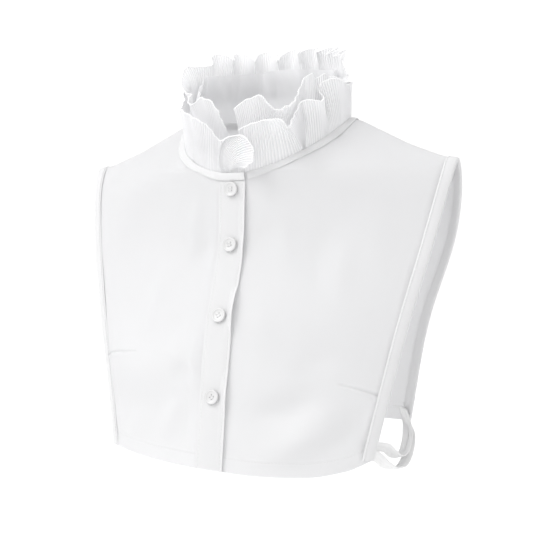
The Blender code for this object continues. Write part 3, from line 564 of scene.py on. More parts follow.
def depth(panel, x, z):
    """How far the worn cloth stands in front of, or behind, the shoulder line's plane."""
    plain = plain_depth(panel, x, z)
    eased = sum(share * plain_depth(panel, x + aside, z) for aside, share in NECK_BLEND)
    beside = ease(1.0 - np.abs(np.abs(x) - NECK_HALF_WIDTH) / BLEND_REACH)
    return plain + (eased - plain) * beside * ease((ridge(x) - z - BLEND_BELOW) / BLEND_FADE)


def facing(panel):
    return -1.0 if panel is FRONT else 1.0


def on_panel(panel, x, z):
    """Points of a panel's outer face."""
    return stack(x, MID_Y + facing(panel) * (SEAM_HALF + depth(panel, x, z)), z)


def out_of_panel(panel, x, z):
    """Unit vectors straight out of a panel."""
    step = 0.05
    low = np.minimum(z, ridge(x) - 2 * step)
    along_x = (depth(panel, x + step, low) - depth(panel, x - step, low)) / (2 * step)
    along_z = (depth(panel, x, low + step) - depth(panel, x, low - step)) / (2 * step)
    return unit(stack(-along_x, facing(panel), -along_z))


def neck_xz(angle):
    """Neckline at angles from the front middle, positive towards the wearer's left."""
    x = NECK_HALF_WIDTH * np.sin(angle)
    front = np.maximum(np.cos(angle), 0.0) ** NECK_FRONT_POWER
    back = np.abs(x / NECK_HALF_WIDTH) ** NECK_BACK_POWER
    z_front = NECK_SIDE_Z + (NECK_FRONT_Z - NECK_SIDE_Z) * front
    z_back = NECK_BACK_Z + (NECK_SIDE_Z - NECK_BACK_Z) * back
    return x, np.where(np.cos(angle) >= 0, z_front, z_back)


def by_panel(angle, make):
    """Values of make(panel) on the front where the neckline is in front, and on the back behind."""
    front = np.cos(angle) >= 0
    if np.ndim(make(FRONT)) > np.ndim(angle):
        front = front[..., None]
    return np.where(front, make(FRONT), make(BACK))


def neck_point(angle):
    """Points of the neckline."""
    x, z = neck_xz(angle)
    y = by_panel(angle, lambda panel: MID_Y + facing(panel) * depth(panel, x, z))
    return stack(x, y, z)


def neck_outward(angle):
    """Level unit vectors away from the neck."""
    step = radians(2.0)
    along = neck_point(angle + step) - neck_point(angle - step)
    return unit(stack(along[..., 1], -along[..., 0], 0.0))


def free_edge_lift(x, z):
    """How far the overlapping front is raised over the other one."""
    inner = -x
    lift = LAYER * np.clip((LIFT_END - inner) / (LIFT_END - PLACKET_HALF - LIFT_MARGIN), 0.0, 1.0)
    fade = np.clip((EDGE_LIFT_TOP - z) / EDGE_LIFT_FADE, 0.0, 1.0)
    start = np.clip((-inner - LIFT_START) / (OVERLAP - LIFT_START), 0.0, None)
    return lift + smooth(FREE_EDGE, "z", "lift", z) * fade * start


def along_fold(x, z, folds):
    """Height of all the soft folds of a table at points of a panel."""
    total = np.zeros(np.broadcast(x, z).shape)
    for x0, z0, x1, z1, width, height in zip(*(folds[name] for name in FOLD_COLUMNS)):
        dx, dz = x1 - x0, z1 - z0
        length = np.hypot(dx, dz)
        t = ((x - x0) * dx + (z - z0) * dz) / length ** 2
        bow = FOLD_BOW * length * np.sin(pi * np.clip(t, 0, 1))
        away = ((x - x0) * dz - (z - z0) * dx) / length
        taper = np.clip(t * (1 - 2 * FOLD_TAPER) + FOLD_TAPER, 0.0, 1.0)
        total += crease(away, bow, width, height) * np.sin(pi * taper) ** 2
    return total


def from_line(x, z, line):
    """Distance from a sewn line, in the panel's own front view, and the share passed along it."""
    nearest = np.full(np.broadcast(x, z).shape, 1e9)
    passed = np.zeros_like(nearest)
    count = len(line["x"]) - 1
    for k in range(count):
        ax, az = line["x"][k], line["z"][k]
        dx, dz = line["x"][k + 1] - ax, line["z"][k + 1] - az
        t = np.clip(((x - ax) * dx + (z - az) * dz) / (dx * dx + dz * dz), 0.0, 1.0)
        signed = z - az - dz * t
        away = np.hypot(x - ax - dx * t, z - az - dz * t) * np.sign(signed)
        closer = np.abs(away) < np.abs(nearest)
        nearest = np.where(closer, away, nearest)
        passed = np.where(closer, (k + t) / count, passed)
    return nearest, passed


def edge_of(panel, z):
    """Where a panel's side edge lies at a height."""
    return smooth(panel, "z", "edge_x", z)


def hem_z(panel, x):
    return smooth(FRONT_HEM, "x", "z", x) if panel is FRONT else np.full(np.shape(x), BACK_HEM_Z)


def row_shares(extra):
    """Shares of a panel's height that its rows stand at."""
    base = 1 - (1 - np.linspace(0.0, 1.0, PANEL_ROWS)) ** ROW_CLOSENESS
    return np.unique(np.round(np.concatenate((base, HEM_ROWS, extra)), 5))


def half_plan(panel, side, shares):
    """Front-view places of half a panel: rows from the hem up, columns from the middle outwards."""
    in_front = panel is FRONT
    first = -OVERLAP if in_front else 0.0
    straight = LIFT_END if in_front else 0.0
    hem_edge = float(edge_of(panel, HEM_LEVEL if in_front else BACK_HEM_Z))
    angles = np.linspace(np.arcsin(first / NECK_HALF_WIDTH), pi / 2, NECK_COLUMNS)
    across = NECK_HALF_WIDTH * np.sin(angles)
    t = np.clip((across - straight) / (NECK_HALF_WIDTH - straight), 0.0, 1.0)
    spread = straight + (hem_edge * UNDER_NECK - straight) * t
    neck_hems = np.where(across <= straight, across, spread)
    rest = np.linspace(0.0, 1.0, SHOULDER_COLUMNS)[1:]
    hems = np.concatenate((neck_hems, hem_edge * (UNDER_NECK + (1 - UNDER_NECK) * rest)))
    neck_x, neck_z = neck_xz(side * (angles if in_front else pi - angles))
    shoulder_x = side * (NECK_HALF_WIDTH + (SHOULDER_TIP - NECK_HALF_WIDTH) * rest)
    top_x = np.concatenate((neck_x, shoulder_x)) * side
    top_z = np.concatenate((neck_z, ridge(shoulder_x)))
    v = shares[:, None]
    base_z = hem_z(panel, side * hems)
    z = base_z + (top_z - base_z) * v
    u = (hems - hems[0]) / (hems[-1] - hems[0])
    slack = edge_of(panel, z[:, -1:]) - (hems[-1] + (top_x[-1] - hems[-1]) * v)
    x = side * (hems + (top_x - hems) * v + u * slack)
    shoulder = np.arange(len(hems)) >= NECK_COLUMNS - 1
    return x, z + (ridge(x[-1:]) - z[-1:]) * shoulder * v ** CLOSING_POWER


def sewn_relief(panel, x, z, folds, dart):
    """How far a panel's cloth stands out of its plain form: folds, grooves, hem and dart."""
    above_hem = z - hem_z(panel, x)
    edge = edge_of(panel, z)
    in_edge = edge - np.abs(x)
    below_top = ridge(x) - z
    fade = ease(above_hem / FOLD_FROM_HEM) * ease(in_edge / FOLD_FROM_SIDE)
    fade = fade * ease(below_top / FOLD_FROM_TOP)
    if panel is FRONT:
        fade = fade * ease((np.abs(x) - PLACKET_HALF + LIFT_MARGIN) / FOLD_FROM_STRIP)
    relief = along_fold(x, z, folds) * fade
    fall = (depth(panel, edge, z) - depth(panel, edge - ARM_BINDING, z)) / ARM_BINDING
    from_edge = in_edge * np.hypot(1.0, fall)
    sewn = ease(above_hem / GROOVE_FROM_HEM) * ease(below_top / GROOVE_FROM_TOP)
    relief = relief + crease(from_edge - ARM_BINDING, *BAND_GROOVE) * sewn
    above_fold = above_hem - HEM_FOLD
    relief = relief + HEM_THICKENING * (1 - ease((above_fold + HEM_STEP / 2) / HEM_STEP))
    relief = relief + crease(above_fold, *HEM_GROOVE)
    if dart is not None:
        away, passed = from_line(x, z, dart)
        open_here = (1 - passed) ** DART_CLOSING
        seam = DART_AT_POINT + (1 - DART_AT_POINT) * open_here
        relief = relief + crease(away, *DART_SEAM) * seam
        relief = relief + crease(away, *DART_LOWER_LIP) * open_here
        relief = relief + crease(away, *DART_UPPER_LIP) * open_here
    return relief


def on_cloth(panel, side, x, z, folds, dart):
    """Points of a panel's worn cloth, and the ways out of it."""
    lift = free_edge_lift(x, z) if panel is FRONT and side < 0 else 0.0
    lift = lift + sewn_relief(panel, x, z, folds, dart)
    out = out_of_panel(panel, x, z)
    return on_panel(panel, x, z) + out * np.asarray(lift)[..., None], out


def dressed(panel, side, shares, folds, dart):
    """Points of half a panel as worn."""
    return on_cloth(panel, side, *half_plan(panel, side, shares), folds, dart)[0]


def called(piece, name):
    piece.name = piece.data.name = name
    return piece


def only(piece):
    """Selects one piece and nothing else."""
    bpy.ops.object.select_all(action="DESELECT")
    piece.select_set(True)
    bpy.context.view_layer.objects.active = piece


def applied(piece, name, kind, **settings):
    """Adds a modifier with its settings and applies it."""
    added = piece.modifiers.new(name, kind)
    for key, value in settings.items():
        setattr(added, key, value)
    only(piece)
    bpy.ops.object.modifier_apply(modifier=name)


def surface_lengths(points):
    """Distances over the cloth along its rows and up its columns, in millimetres."""
    across = np.linalg.norm(np.diff(points, axis=1), axis=-1)
    up = np.linalg.norm(np.diff(points, axis=0), axis=-1)
    u = np.concatenate((np.zeros((points.shape[0], 1)), np.cumsum(across, axis=1)), axis=1)
    v = np.concatenate((np.zeros((1, points.shape[1])), np.cumsum(up, axis=0)), axis=0)
    return u, v


def cloth_grid(name, points, thickness, offset=-1.0, uv=None):
    """A grid primitive whose points are moved to the cloth's, given its thickness."""
    rows, columns = points.shape[:2]
    bpy.ops.object.select_all(action="DESELECT")
    bpy.ops.mesh.primitive_grid_add(x_subdivisions=columns - 1, y_subdivisions=rows - 1)
    piece = called(bpy.context.object, name)
    piece.data.vertices.foreach_set("co", (points * MM).astype(np.float32).ravel())
    u, v = surface_lengths(points) if uv is None else uv
    places = np.stack((u, v), axis=-1).reshape(-1, 2) * MM
    loops = np.zeros(len(piece.data.loops), np.int32)
    piece.data.loops.foreach_get("vertex_index", loops)
    piece.data.uv_layers[0].data.foreach_set("uv", places[loops].astype(np.float32).ravel())
    piece.data.update()
    applied(piece, "Wall", "SOLIDIFY", thickness=thickness * MM, offset=offset)
    bpy.ops.object.shade_smooth_by_angle(angle=CLOTH_SMOOTHING)
    return piece


def merged(name, pieces):
    """Joins pieces into one."""
    only(pieces[0])
    for piece in pieces:
        piece.select_set(True)
    bpy.ops.object.join()
    return called(pieces[0], name)


def closed_form(name, points, faces):
    """A smooth closed mesh of points in millimetres."""
    mesh = bpy.data.meshes.new(name)
    mesh.from_pydata([tuple(point * MM) for point in points], [], faces)
    piece = bpy.data.objects.new(name, mesh)
    bpy.context.scene.collection.objects.link(piece)
    only(piece)
    bpy.ops.object.mode_set(mode="EDIT")
    bpy.ops.mesh.select_all(action="SELECT")
    bpy.ops.mesh.normals_make_consistent(inside=False)
    bpy.ops.object.mode_set(mode="OBJECT")
    bpy.ops.object.shade_smooth()
    return piece


def tube_faces(start, rings, sides):
    """Faces of a closed tube whose rings of points follow each other from a start."""
    faces = []
    for ring in range(rings - 1):
        low = start + ring * sides
        for turn in range(sides):
            after = (turn + 1) % sides
            faces.append((low + turn, low + after, low + sides + after, low + sides + turn))
    faces.append(tuple(range(start + sides - 1, start - 1, -1)))
    faces.append(tuple(range(start + (rings - 1) * sides, start + rings * sides)))
    return faces


def cloth_area(points):
    """Flat area of a grid of cloth, in square metres."""
    a = points[1:, :-1] - points[:-1, :-1]
    b = points[:-1, 1:] - points[:-1, :-1]
    c = points[1:, :-1] - points[1:, 1:]
    d = points[:-1, 1:] - points[1:, 1:]
    halves = np.linalg.norm(np.cross(a, b), axis=-1) + np.linalg.norm(np.cross(c, d), axis=-1)
    return float(halves.sum()) / 2 * MM * MM


def sew(piece, finish, node=None):
    """Gives a piece its finish, hangs it on the root body, and hides the solid that it stands for."""
    piece.data.materials.clear()
    piece.data.materials.append(finish)
    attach(piece, "root")
    if node:
        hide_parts(node)
    return piece


# Stitches

def even_rows(points, spacing):
    """Rows, as fractions too, that stand at equal distances along a line of points."""
    steps = np.linalg.norm(np.diff(points, axis=0), axis=-1)
    lengths = np.concatenate(([0.0], np.cumsum(steps)))
    count = max(int(lengths[-1] / spacing), 1)
    at = (np.arange(count) + 0.5) * lengths[-1] / count
    return np.interp(at, lengths, np.arange(len(points)))


def at_rows(values, rows):
    """Values at rows that may be fractions."""
    index = np.arange(len(values))
    return np.stack([np.interp(rows, index, column) for column in values.T], axis=-1)


def stitch_lines(name, lines, sizes):
    """One mesh of short rounded stitches along lines of (points, ways out of the cloth)."""
    pitch = sizes.stitch_pitch / MM
    length = pitch * STITCH_LENGTH
    radius = sizes.thread_width / MM / 2
    corners = [(cos(k * pi / 2), sin(k * pi / 2)) for k in range(STITCH_SIDES)]
    points, faces = [], []
    for line, outs in lines:
        rows = even_rows(line, pitch)
        middle = at_rows(line, rows)
        before = at_rows(line, np.maximum(rows - 0.25, 0))
        after = at_rows(line, np.minimum(rows + 0.25, len(line) - 1))
        along = unit(after - before)
        out = unit(at_rows(outs, rows))
        beside = unit(np.cross(along, out))
        for m, a, o, b in zip(middle, along, out, beside):
            faces += tube_faces(len(points), len(STITCH_SHAPE), STITCH_SIDES)
            for place, size in STITCH_SHAPE:
                rise = STITCH_DIP if size < 1 else STITCH_RISE
                for c, s in corners:
                    up = o * (rise + c * radius * size)
                    points.append(m + a * place * length + up + b * s * radius * size)
    return closed_form(name, points, faces)


# Gathered tiers

def tier_stations(start, waves, end):
    """Stations of a whole tier, with the plain waves spread evenly between its shaped ends."""
    rows = list(zip(*(start[name] for name in STATION_COLUMNS)))
    at = start["at"][-1]
    scale = (end["at"][0] - at) / sum(waves["width"])
    near, far = SHOULDER_SHARE, 1 - SHOULDER_SHARE
    count = len(waves["width"])
    for k in range(count):
        after = (k + 1) % count
        width = waves["width"][k] * scale
        crest, trough, next_trough = waves["crest"][k], waves["trough"][k], waves["trough"][after]
        top, notch, next_notch = waves["top"][k], waves["notch"][k], waves["notch"][after]
        outs = (trough, (trough + crest) / 2, crest, (crest + next_trough) / 2)
        ups = (notch, near * top + far * notch, top, near * top + far * next_notch)
        sides = (0.0, -GATHER * width, 0.0, GATHER * width)
        for phase in range(4):
            if k or phase:
                place = (at + width * phase / 4, waves["bend"][k], top / 2, 0.0)
                rows.append(place + (outs[phase], ups[phase], sides[phase]))
        at += width
    rows += zip(*(end[name] for name in STATION_COLUMNS))
    return named(STATION_COLUMNS, *rows)


def make_tier(stations, rise, first_x, last_x):
    """A tier's stations, the height of its seam, and the turns and lengths along that."""
    start = atan2(first_x, NECK_HALF_WIDTH)
    end = 2 * pi + atan2(last_x, NECK_HALF_WIDTH)
    angles = np.linspace(start, end, TIER_STEPS)
    steps = np.linalg.norm(np.diff(neck_point(angles), axis=0), axis=-1)
    lengths = np.concatenate(([0.0], np.cumsum(steps)))
    return {"stations": stations, "rise": rise, "angle": angles, "at": lengths}


def tier_curves(tier, angle):
    """Outward, upward and sideways reach of a tier's cloth, a row for each share of its depth."""
    at = np.interp(angle, tier["angle"], tier["at"])
    bend, waist, low, out, up, side = (
        smooth(tier["stations"], "at", name, at) for name in STATION_COLUMNS[1:]
    )
    t = STRIP_SHARES[:, None]
    near, far = 2 * t * (1 - t), t * t
    rise = tier["rise"](angle)
    foot = TIER_FOOT - rise * np.tan(radians(STAND_LEAN))
    outward = foot + near * waist * np.tan(np.radians(bend)) + far * out
    return outward, rise + near * waist + far * up, near * low + far * side


def pushed_out(out, up, under, angle):
    """The outward reach of a tier's cloth once it lies over the tier under it."""
    inner_out, inner_up, _ = tier_curves(under, angle)
    inside = (angle >= under["angle"][0]) & (angle <= under["angle"][-1])
    result = out.copy()
    for k in np.nonzero(inside)[0]:
        top = int(np.argmax(inner_up[:, k]))
        reach = np.interp(up[:, k], inner_up[:top + 1, k], inner_out[:top + 1, k]) + TIER_SPACING
        meets = (up[:, k] >= inner_up[0, k] - LAYER) & (up[:, k] <= inner_up[top, k])
        result[:, k] = np.where(meets, np.maximum(out[:, k], reach), out[:, k])
    return result


def ruffle_points(tier, under, angle):
    """Smooth points of a tier's cloth at angles round the neck, before its pleats."""
    out, up, side = tier_curves(tier, angle)
    if under:
        out = pushed_out(out, up, under, angle)
    outward = neck_outward(angle)
    along = stack(-outward[:, 1], outward[:, 0], 0.0)
    points = neck_point(angle) + outward * out[..., None] + along * side[..., None]
    points[..., 2] += up
    return points


def normals_of(points):
    """Unit vectors out of a grid of cloth."""
    across = np.gradient(points, axis=1)
    up = np.gradient(points, axis=0)
    return unit(np.cross(across, up))


def pleated(points, sizes):
    """Crystal pleats and a fluted edge worked into a tier's smooth points."""
    rows, columns = points.shape[:2]
    steps = len(PLEAT_FOLD)
    t = np.linspace(0.0, 1.0, rows)[:, None]
    turn = 2 * pi * np.linspace(0.0, 1.0, columns)[None, :]
    fold = PLEAT_FOLD[np.arange(columns) % steps][None, :]
    waver = PLEAT_UNEVENNESS
    for waves, lead in PLEAT_WAVERS:
        waver = waver * np.sin(turn * waves + lead)
    height = PLEAT_AT_SEAM + (1 - PLEAT_AT_SEAM) * ease(t * PLEAT_GROWTH)
    height = sizes.pleat_depth / MM * height * (1.0 + waver)
    flute = FLUTE_HEIGHT * wavering(turn, *FLUTES) * t ** FLUTE_POWER
    worked = points + normals_of(points) * (height * fold + flute)[..., None]
    u = np.broadcast_to(np.arange(columns) / steps * sizes.pleat_pitch / MM, (rows, columns))
    return worked, (u, surface_lengths(points)[1])


def rolled_edge(name, line, radius, sides=6):
    """A thin round roll along a line of points."""
    along = unit(np.gradient(line, axis=0))
    out = unit(np.cross(along, np.array([0.0, 0.0, 1.0]) + along * 0.01))
    beside = unit(np.cross(along, out))
    turns = np.linspace(0, 2 * pi, sides, endpoint=False)[None, :, None]
    section = out[:, None] * np.cos(turns) + beside[:, None] * np.sin(turns)
    rings = line[:, None] + radius * section
    return closed_form(name, rings.reshape(-1, 3), tube_faces(0, len(line), sides))


# Finishes

class Wire:
    """One socket of a finish. Arithmetic on it adds the Math nodes that work it out."""

    def __init__(self, finish, node, output=0):
        self.finish = finish
        self.made = node
        self.socket = node.outputs[output]

    def output(self, index):
        return Wire(self.finish, self.made, index)

    def maths(self, operation, *others):
        sockets = dict(enumerate((self,) + others))
        return self.finish.node("ShaderNodeMath", {"operation": operation}, sockets)

    def __add__(self, other):
        return self.maths("ADD", other)

    __radd__ = __add__

    def __mul__(self, other):
        return self.maths("MULTIPLY", other)

    __rmul__ = __mul__

    def __sub__(self, other):
        return self.maths("SUBTRACT", other)

    def __rsub__(self, other):
        return self * -1.0 + other


class Finish:
    """A procedural finish, whose plain sockets are set and whose patterns are fed in."""

    def __init__(self, name, **plain):
        self.material = bpy.data.materials.new(name)
        self.material.use_nodes = True
        self.tree = self.material.node_tree
        self.shader = self.tree.nodes["Principled BSDF"]
        for socket, value in plain.items():
            self.shader.inputs[socket.replace("_", " ")].default_value = value

    def node(self, kind, settings=None, sockets=None, output=0):
        """Adds any node: its settings first, then the values or links of its sockets."""
        made = self.tree.nodes.new(kind)
        for key, value in (settings or {}).items():
            setattr(made, key, value)
        for key, value in (sockets or {}).items():
            if isinstance(value, Wire):
                self.tree.links.new(value.socket, made.inputs[key])
            else:
                made.inputs[key].default_value = value
        return Wire(self, made, output)

    def feed(self, socket, wire):
        self.tree.links.new(wire.socket, self.shader.inputs[socket])

    def blend(self, factor, first, second):
        values = {0: factor, 6: first, 7: second}
        return self.node("ShaderNodeMix", {"data_type": "RGBA"}, values, 2)

    def noise(self, where, scale, detail=2.0):
        values = {"Vector": where, "Scale": scale, "Detail": detail}
        return self.node("ShaderNodeTexNoise", {}, values)

    def bump(self, height, strength, distance):
        values = {"Height": height, "Strength": strength, "Distance": distance}
        self.feed("Normal", self.node("ShaderNodeBump", {}, values))

    def let_through(self, share, colour):
        """Lets a share of the light come through the cloth from behind."""
        behind = self.node("ShaderNodeBsdfTranslucent", {}, {"Color": tone(colour, 1.0)})
        mixed = self.node("ShaderNodeMixShader", {}, {0: share})
        self.tree.links.new(self.shader.outputs["BSDF"], mixed.made.inputs[1])
        self.tree.links.new(behind.socket, mixed.made.inputs[2])
        self.tree.links.new(mixed.socket, self.tree.nodes["Material Output"].inputs["Surface"])

    def cloth_places(self):
        """Places along and up the cloth, in metres."""
        return self.node("ShaderNodeUVMap", {"uv_map": "UVMap"})

    def split(self, where):
        return self.node("ShaderNodeSeparateXYZ", {}, {0: where})

    def object_places(self):
        return self.node("ShaderNodeTexCoord", output=3)


# Share of the light that comes through organza, cotton, doubled cotton and the folded bindings
SHEER_THROUGH = 0.5
COTTON_THROUGH = 0.5
DOUBLED_THROUGH = 0.3
BINDING_THROUGH = 0.26
# How many slubs and clouds there are to a metre, the share of crossings and slubs in the relief,
# and its height in metres
SLUBS = 420.0
CLOUDS = 21.0
CROSSING = 0.5
SLUB = 0.8
WEAVE_HEIGHT = 0.0002
# The organza's folded edges: how narrow, how they sway, and the painted shade of the pleats' valleys
# between them
FOLD_NARROWNESS = 1.4
FOLD_SWAY = 0.9
SWAYS = 90.0
PLEAT_PAINTED_SHADE = 0.9
# The stand's gathers: across and along a metre, their contrast, the painted shade in their hollows
# and their height in metres
GATHERS = (62.0, 9.0, 1.0)
GATHER_CONTRAST = 2.6
GATHER_START = 0.8
GATHER_PAINTED_SHADE = 0.87
GATHER_HEIGHT = 0.001
STAND_COVER = 0.75


def tone(colour, share):
    """A colour darkened to a share of itself, with its alpha."""
    return tuple(c * share for c in colour) + (1.0,)


def woven(name, colour, pitch, strength, mottle, through=0.0, **plain):
    """Plain weave: threads over and under each other, a little uneven in height and in tone."""
    finish = Finish(name, **plain)
    if through:
        finish.let_through(through, colour)
    along = finish.split(finish.cloth_places())
    turn = 2 * pi / pitch
    over = (along * turn).maths("SINE") * (along.output(1) * turn).maths("SINE")
    slub = finish.noise(finish.object_places(), SLUBS)
    finish.bump(over * CROSSING + slub * SLUB, strength, WEAVE_HEIGHT)
    cloud = finish.noise(finish.object_places(), CLOUDS, 3.0)
    shades = finish.blend(cloud, tone(colour, 1.0 - mottle), tone(colour, 1.0))
    finish.feed("Base Color", shades)
    return finish.material


def pleated_sheer(name, colour, cover, pitch, **plain):
    """Organza with close folded edges, painted shade between them, denser folds, and layers that let
    the light through.
    """
    finish = Finish(name, **plain)
    along = finish.split(finish.cloth_places())
    sway = finish.noise(finish.object_places(), SWAYS)
    wave = (along * (2 * pi / pitch) + sway * FOLD_SWAY).maths("SINE") * 0.5 + 0.5
    fold = wave.maths("POWER", FOLD_NARROWNESS)
    # Painted shade: the colour is darker between the folded edges, where the pleats' valleys lie
    shades = finish.blend(fold, tone(colour, PLEAT_PAINTED_SHADE), tone(colour, 1.0))
    finish.feed("Base Color", shades)
    finish.feed("Alpha", fold * (1.0 - cover) + cover)
    finish.let_through(SHEER_THROUGH, colour)
    return finish.material


def gathered_sheer(name, colour, **plain):
    """Soft organza whose loose gathers show as broad upright bands of bumps, with painted shade in
    their hollows.
    """
    finish = Finish(name, **plain)
    values = {"Vector": finish.cloth_places(), "Scale": GATHERS}
    bands = finish.noise(finish.node("ShaderNodeMapping", {}, values), 1.0, 3.0)
    soft = (bands * GATHER_CONTRAST - GATHER_START).maths("MAXIMUM", 0.0).maths("MINIMUM", 1.0)
    # Painted shade: the colour is darker in the gathers' hollows, where the bump is low
    shades = finish.blend(soft, tone(colour, GATHER_PAINTED_SHADE), tone(colour, 1.0))
    finish.feed("Base Color", shades)
    finish.bump(bands, 0.5, GATHER_HEIGHT)
    finish.let_through(SHEER_THROUGH, colour)
    return finish.material


def make_finishes(colours, sizes):
    cotton, sheer = tuple(colours.cotton), tuple(colours.sheer)
    ribbon, button = tuple(colours.ribbon), tuple(colours.button)
    return {
        "pleats": pleated_sheer(
            "pleated_organza", sheer, colours.sheer_cover, sizes.pleat_pitch,
            Roughness=0.5, Sheen_Weight=0.2,
        ),
        "stand": gathered_sheer(
            "gathered_organza", sheer, Roughness=0.55, Alpha=STAND_COVER, Sheen_Weight=0.2,
        ),
        "cotton": woven(
            "white_cotton_lawn", cotton, 0.0005, 0.12, 0.015, COTTON_THROUGH,
            Roughness=0.88, Sheen_Weight=0.1,
        ),
        "strip": woven(
            "doubled_cotton_lawn", cotton, 0.0005, 0.12, 0.015, DOUBLED_THROUGH,
            Roughness=0.88, Sheen_Weight=0.1,
        ),
        "binding": woven(
            "cotton_bias_binding", cotton, 0.0004, 0.1, 0.01, BINDING_THROUGH,
            Roughness=0.84, Sheen_Weight=0.15,
        ),
        "ribbon": woven(
            "soft_ribbon", ribbon, 0.0009, 0.2, 0.05, Roughness=0.7, Sheen_Weight=0.2,
        ),
        "roll": woven("rolled_organza_edge", sheer, 0.0006, 0.2, 0.0, Roughness=0.6),
        "thread": woven("white_sewing_thread", ribbon, 0.0004, 0.3, 0.02, Roughness=0.6),
        "button": woven(
            "pearly_button", button, 0.004, 0.01, 0.04, Roughness=0.28, Coat_Weight=0.15,
        ),
    }


# Sizes and colours that a user may change

def length_property(name, description, default, low, high):
    return FloatProperty(
        name=name, description=description, default=default, min=low, max=high,
        unit="LENGTH", subtype="DISTANCE",
    )


def colour_property(name, description, *default):
    return FloatVectorProperty(
        name=name, description=description, default=default, min=0.0, max=1.0, size=3,
        subtype="COLOR",
    )


class CollarSizes(bpy.types.PropertyGroup):
    cotton_thickness: length_property(
        "Cotton thickness", "Thickness of the bib's cloth", 0.0006, 0.0002, 0.001
    )
    sheer_thickness: length_property(
        "Organza thickness", "Thickness of the ruffles' sheer cloth", 0.00022, 0.0001, 0.0006
    )
    pleat_pitch: length_property(
        "Pleat pitch", "Distance between two pleats along a ruffle's strip", 0.002, 0.0014, 0.005
    )
    pleat_depth: length_property("Pleat depth", "Half the height of a pleat", 0.0004, 0.0, 0.001)
    roll_width: length_property(
        "Rolled edge", "Thickness of the roll along a ruffle's edge", 0.0008, 0.0004, 0.0015
    )
    stitch_pitch: length_property(
        "Stitch pitch", "Distance between two stitches of a seam", 0.0026, 0.0015, 0.005
    )
    thread_width: length_property(
        "Thread width", "Thickness of the sewing thread", 0.0004, 0.0002, 0.001
    )
    button_diameter: length_property(
        "Button diameter", "Width of a button, 18 lines", 0.0114, 0.009, 0.0116
    )
    button_holes: IntProperty(
        name="Button holes", description="Holes through each button", default=4, min=2, max=4,
    )


class CollarColours(bpy.types.PropertyGroup):
    cotton: colour_property("Cotton", "Colour of the bib's cloth", 0.855, 0.855, 0.86)
    sheer: colour_property("Organza", "Colour of the ruffles", 0.98, 0.98, 0.985)
    ribbon: colour_property("Ribbon", "Colour of the side straps and of the thread", 0.8, 0.8, 0.8)
    button: colour_property("Button", "Colour of the buttons", 0.66, 0.66, 0.66)
    backdrop: colour_property("Backdrop", "Colour of the floor", 0.97, 0.97, 0.97)
    sheer_cover: FloatProperty(
        name="Organza cover", description="How much a single layer of the organza hides",
        default=0.8, min=0.1, max=1.0, subtype="FACTOR",
    )


FINISHES = {}


def finish_for(context, name):
    if not FINISHES:
        FINISHES.update(make_finishes(context.scene.collar_colours, context.scene.collar_sizes))
    return FINISHES[name]


def declared(points):
    """Works out the width, length and area of a sheet's cloth, in metres, and keeps none of them."""
    u, v = surface_lengths(points)
    width, length = float(u[:, -1].max()) * MM, float(v[-1].max()) * MM
    area = min(cloth_area(points), width * length)


class CollarOperator:
    """What the steps share: each makes its pieces from the sizes of the scene."""
    bl_options = {"REGISTER", "UNDO"}

    def execute(self, context):
        self.make(context, context.scene.collar_sizes)
        return {"FINISHED"}


class COLLAR_OT_bib(CollarOperator, bpy.types.Operator):
    """Cuts the two fronts and the back, with their darts, hems and soft folds"""
    bl_idname = "collar.bib"
    bl_label = "Bib"

    def make(self, context, sizes):
        right = dressed(FRONT, -1.0, row_shares(RIGHT_DART_ROWS), RIGHT_FOLDS, RIGHT_DART)
        left = dressed(FRONT, 1.0, row_shares(LEFT_DART_ROWS), LEFT_FOLDS, LEFT_DART)
        one = dressed(BACK, 1.0, row_shares(BACK_ROWS), BACK_FOLDS, None)
        other = dressed(BACK, -1.0, row_shares(BACK_ROWS), BACK_FOLDS, None)
        back = np.concatenate((one[:, ::-1], other[:, 1:]), axis=1)
        for node, points, turned in (
            ("front_right", right, right[:, ::-1]),
            ("front_left", left, left),
            ("back", back, back),
        ):
            piece = cloth_grid(node + "_cloth", turned, sizes.cotton_thickness / MM)
            sew(piece, finish_for(context, "cotton"), node)
            declared(points)


def placket_points(x, v):
    """Points of the placket's strip, and the ways out of it, at shares of its height."""
    low = hem_z(FRONT, x)
    z = low + (PLACKET_TOP - low) * v
    rise = free_edge_lift(x, z) + STRIP_RISE
    crown = STRIP_CROWN * (1 - (x / PLACKET_HALF) ** 2)
    pull = np.zeros(np.broadcast(x, z).shape)
    for height in BUTTON_HEIGHTS:
        pull = pull + crease(z - height, *BUTTON_PULL) * np.sin(np.abs(x) * PULL_WAVES) ** 2
    rise = rise - crease(np.abs(x), *STRIP_GROOVE) + crown - pull
    out = out_of_panel(FRONT, x + 0 * z, z)
    return on_panel(FRONT, x + 0 * z, z) + out * rise[..., None], out


class COLLAR_OT_placket(CollarOperator, bpy.types.Operator):
    """Lays the buttonhole strip of the overlapping front"""
    bl_idname = "collar.placket"
    bl_label = "Placket"

    def make(self, context, sizes):
        x = np.linspace(-PLACKET_HALF, PLACKET_HALF, STRIP_COLUMNS)[None, :]
        v = np.linspace(0.0, 1.0, STRIP_ROWS)[:, None]
        points, _ = placket_points(x, v)
        strip = cloth_grid("placket_cloth", points, sizes.cotton_thickness / MM)
        sew(strip, finish_for(context, "strip"), "placket")
        declared(points)


def below_neck(panel, angle, distance):
    """Panel places at a distance from the neckline, measured over the cloth."""
    step = radians(0.5)
    x, z = neck_xz(angle)
    outward = out_of_panel(panel, x, z)
    before = on_panel(panel, *neck_xz(angle - step))
    after = on_panel(panel, *neck_xz(angle + step))
    down = unit(np.cross(outward, after - before))
    down = np.where(down[..., 2:] > 0, -down, down)
    fall = (ridge(np.abs(x) + distance) - ridge(np.abs(x))) / distance
    at_side = (np.abs(np.abs(angle) - pi / 2) < 2 * step)[..., None]
    down = np.where(at_side, unit(stack(np.sign(x), 0.0, fall)), down)
    new_x = x + distance * down[..., 0]
    return new_x, np.minimum(z + distance * down[..., 2], ridge(new_x))


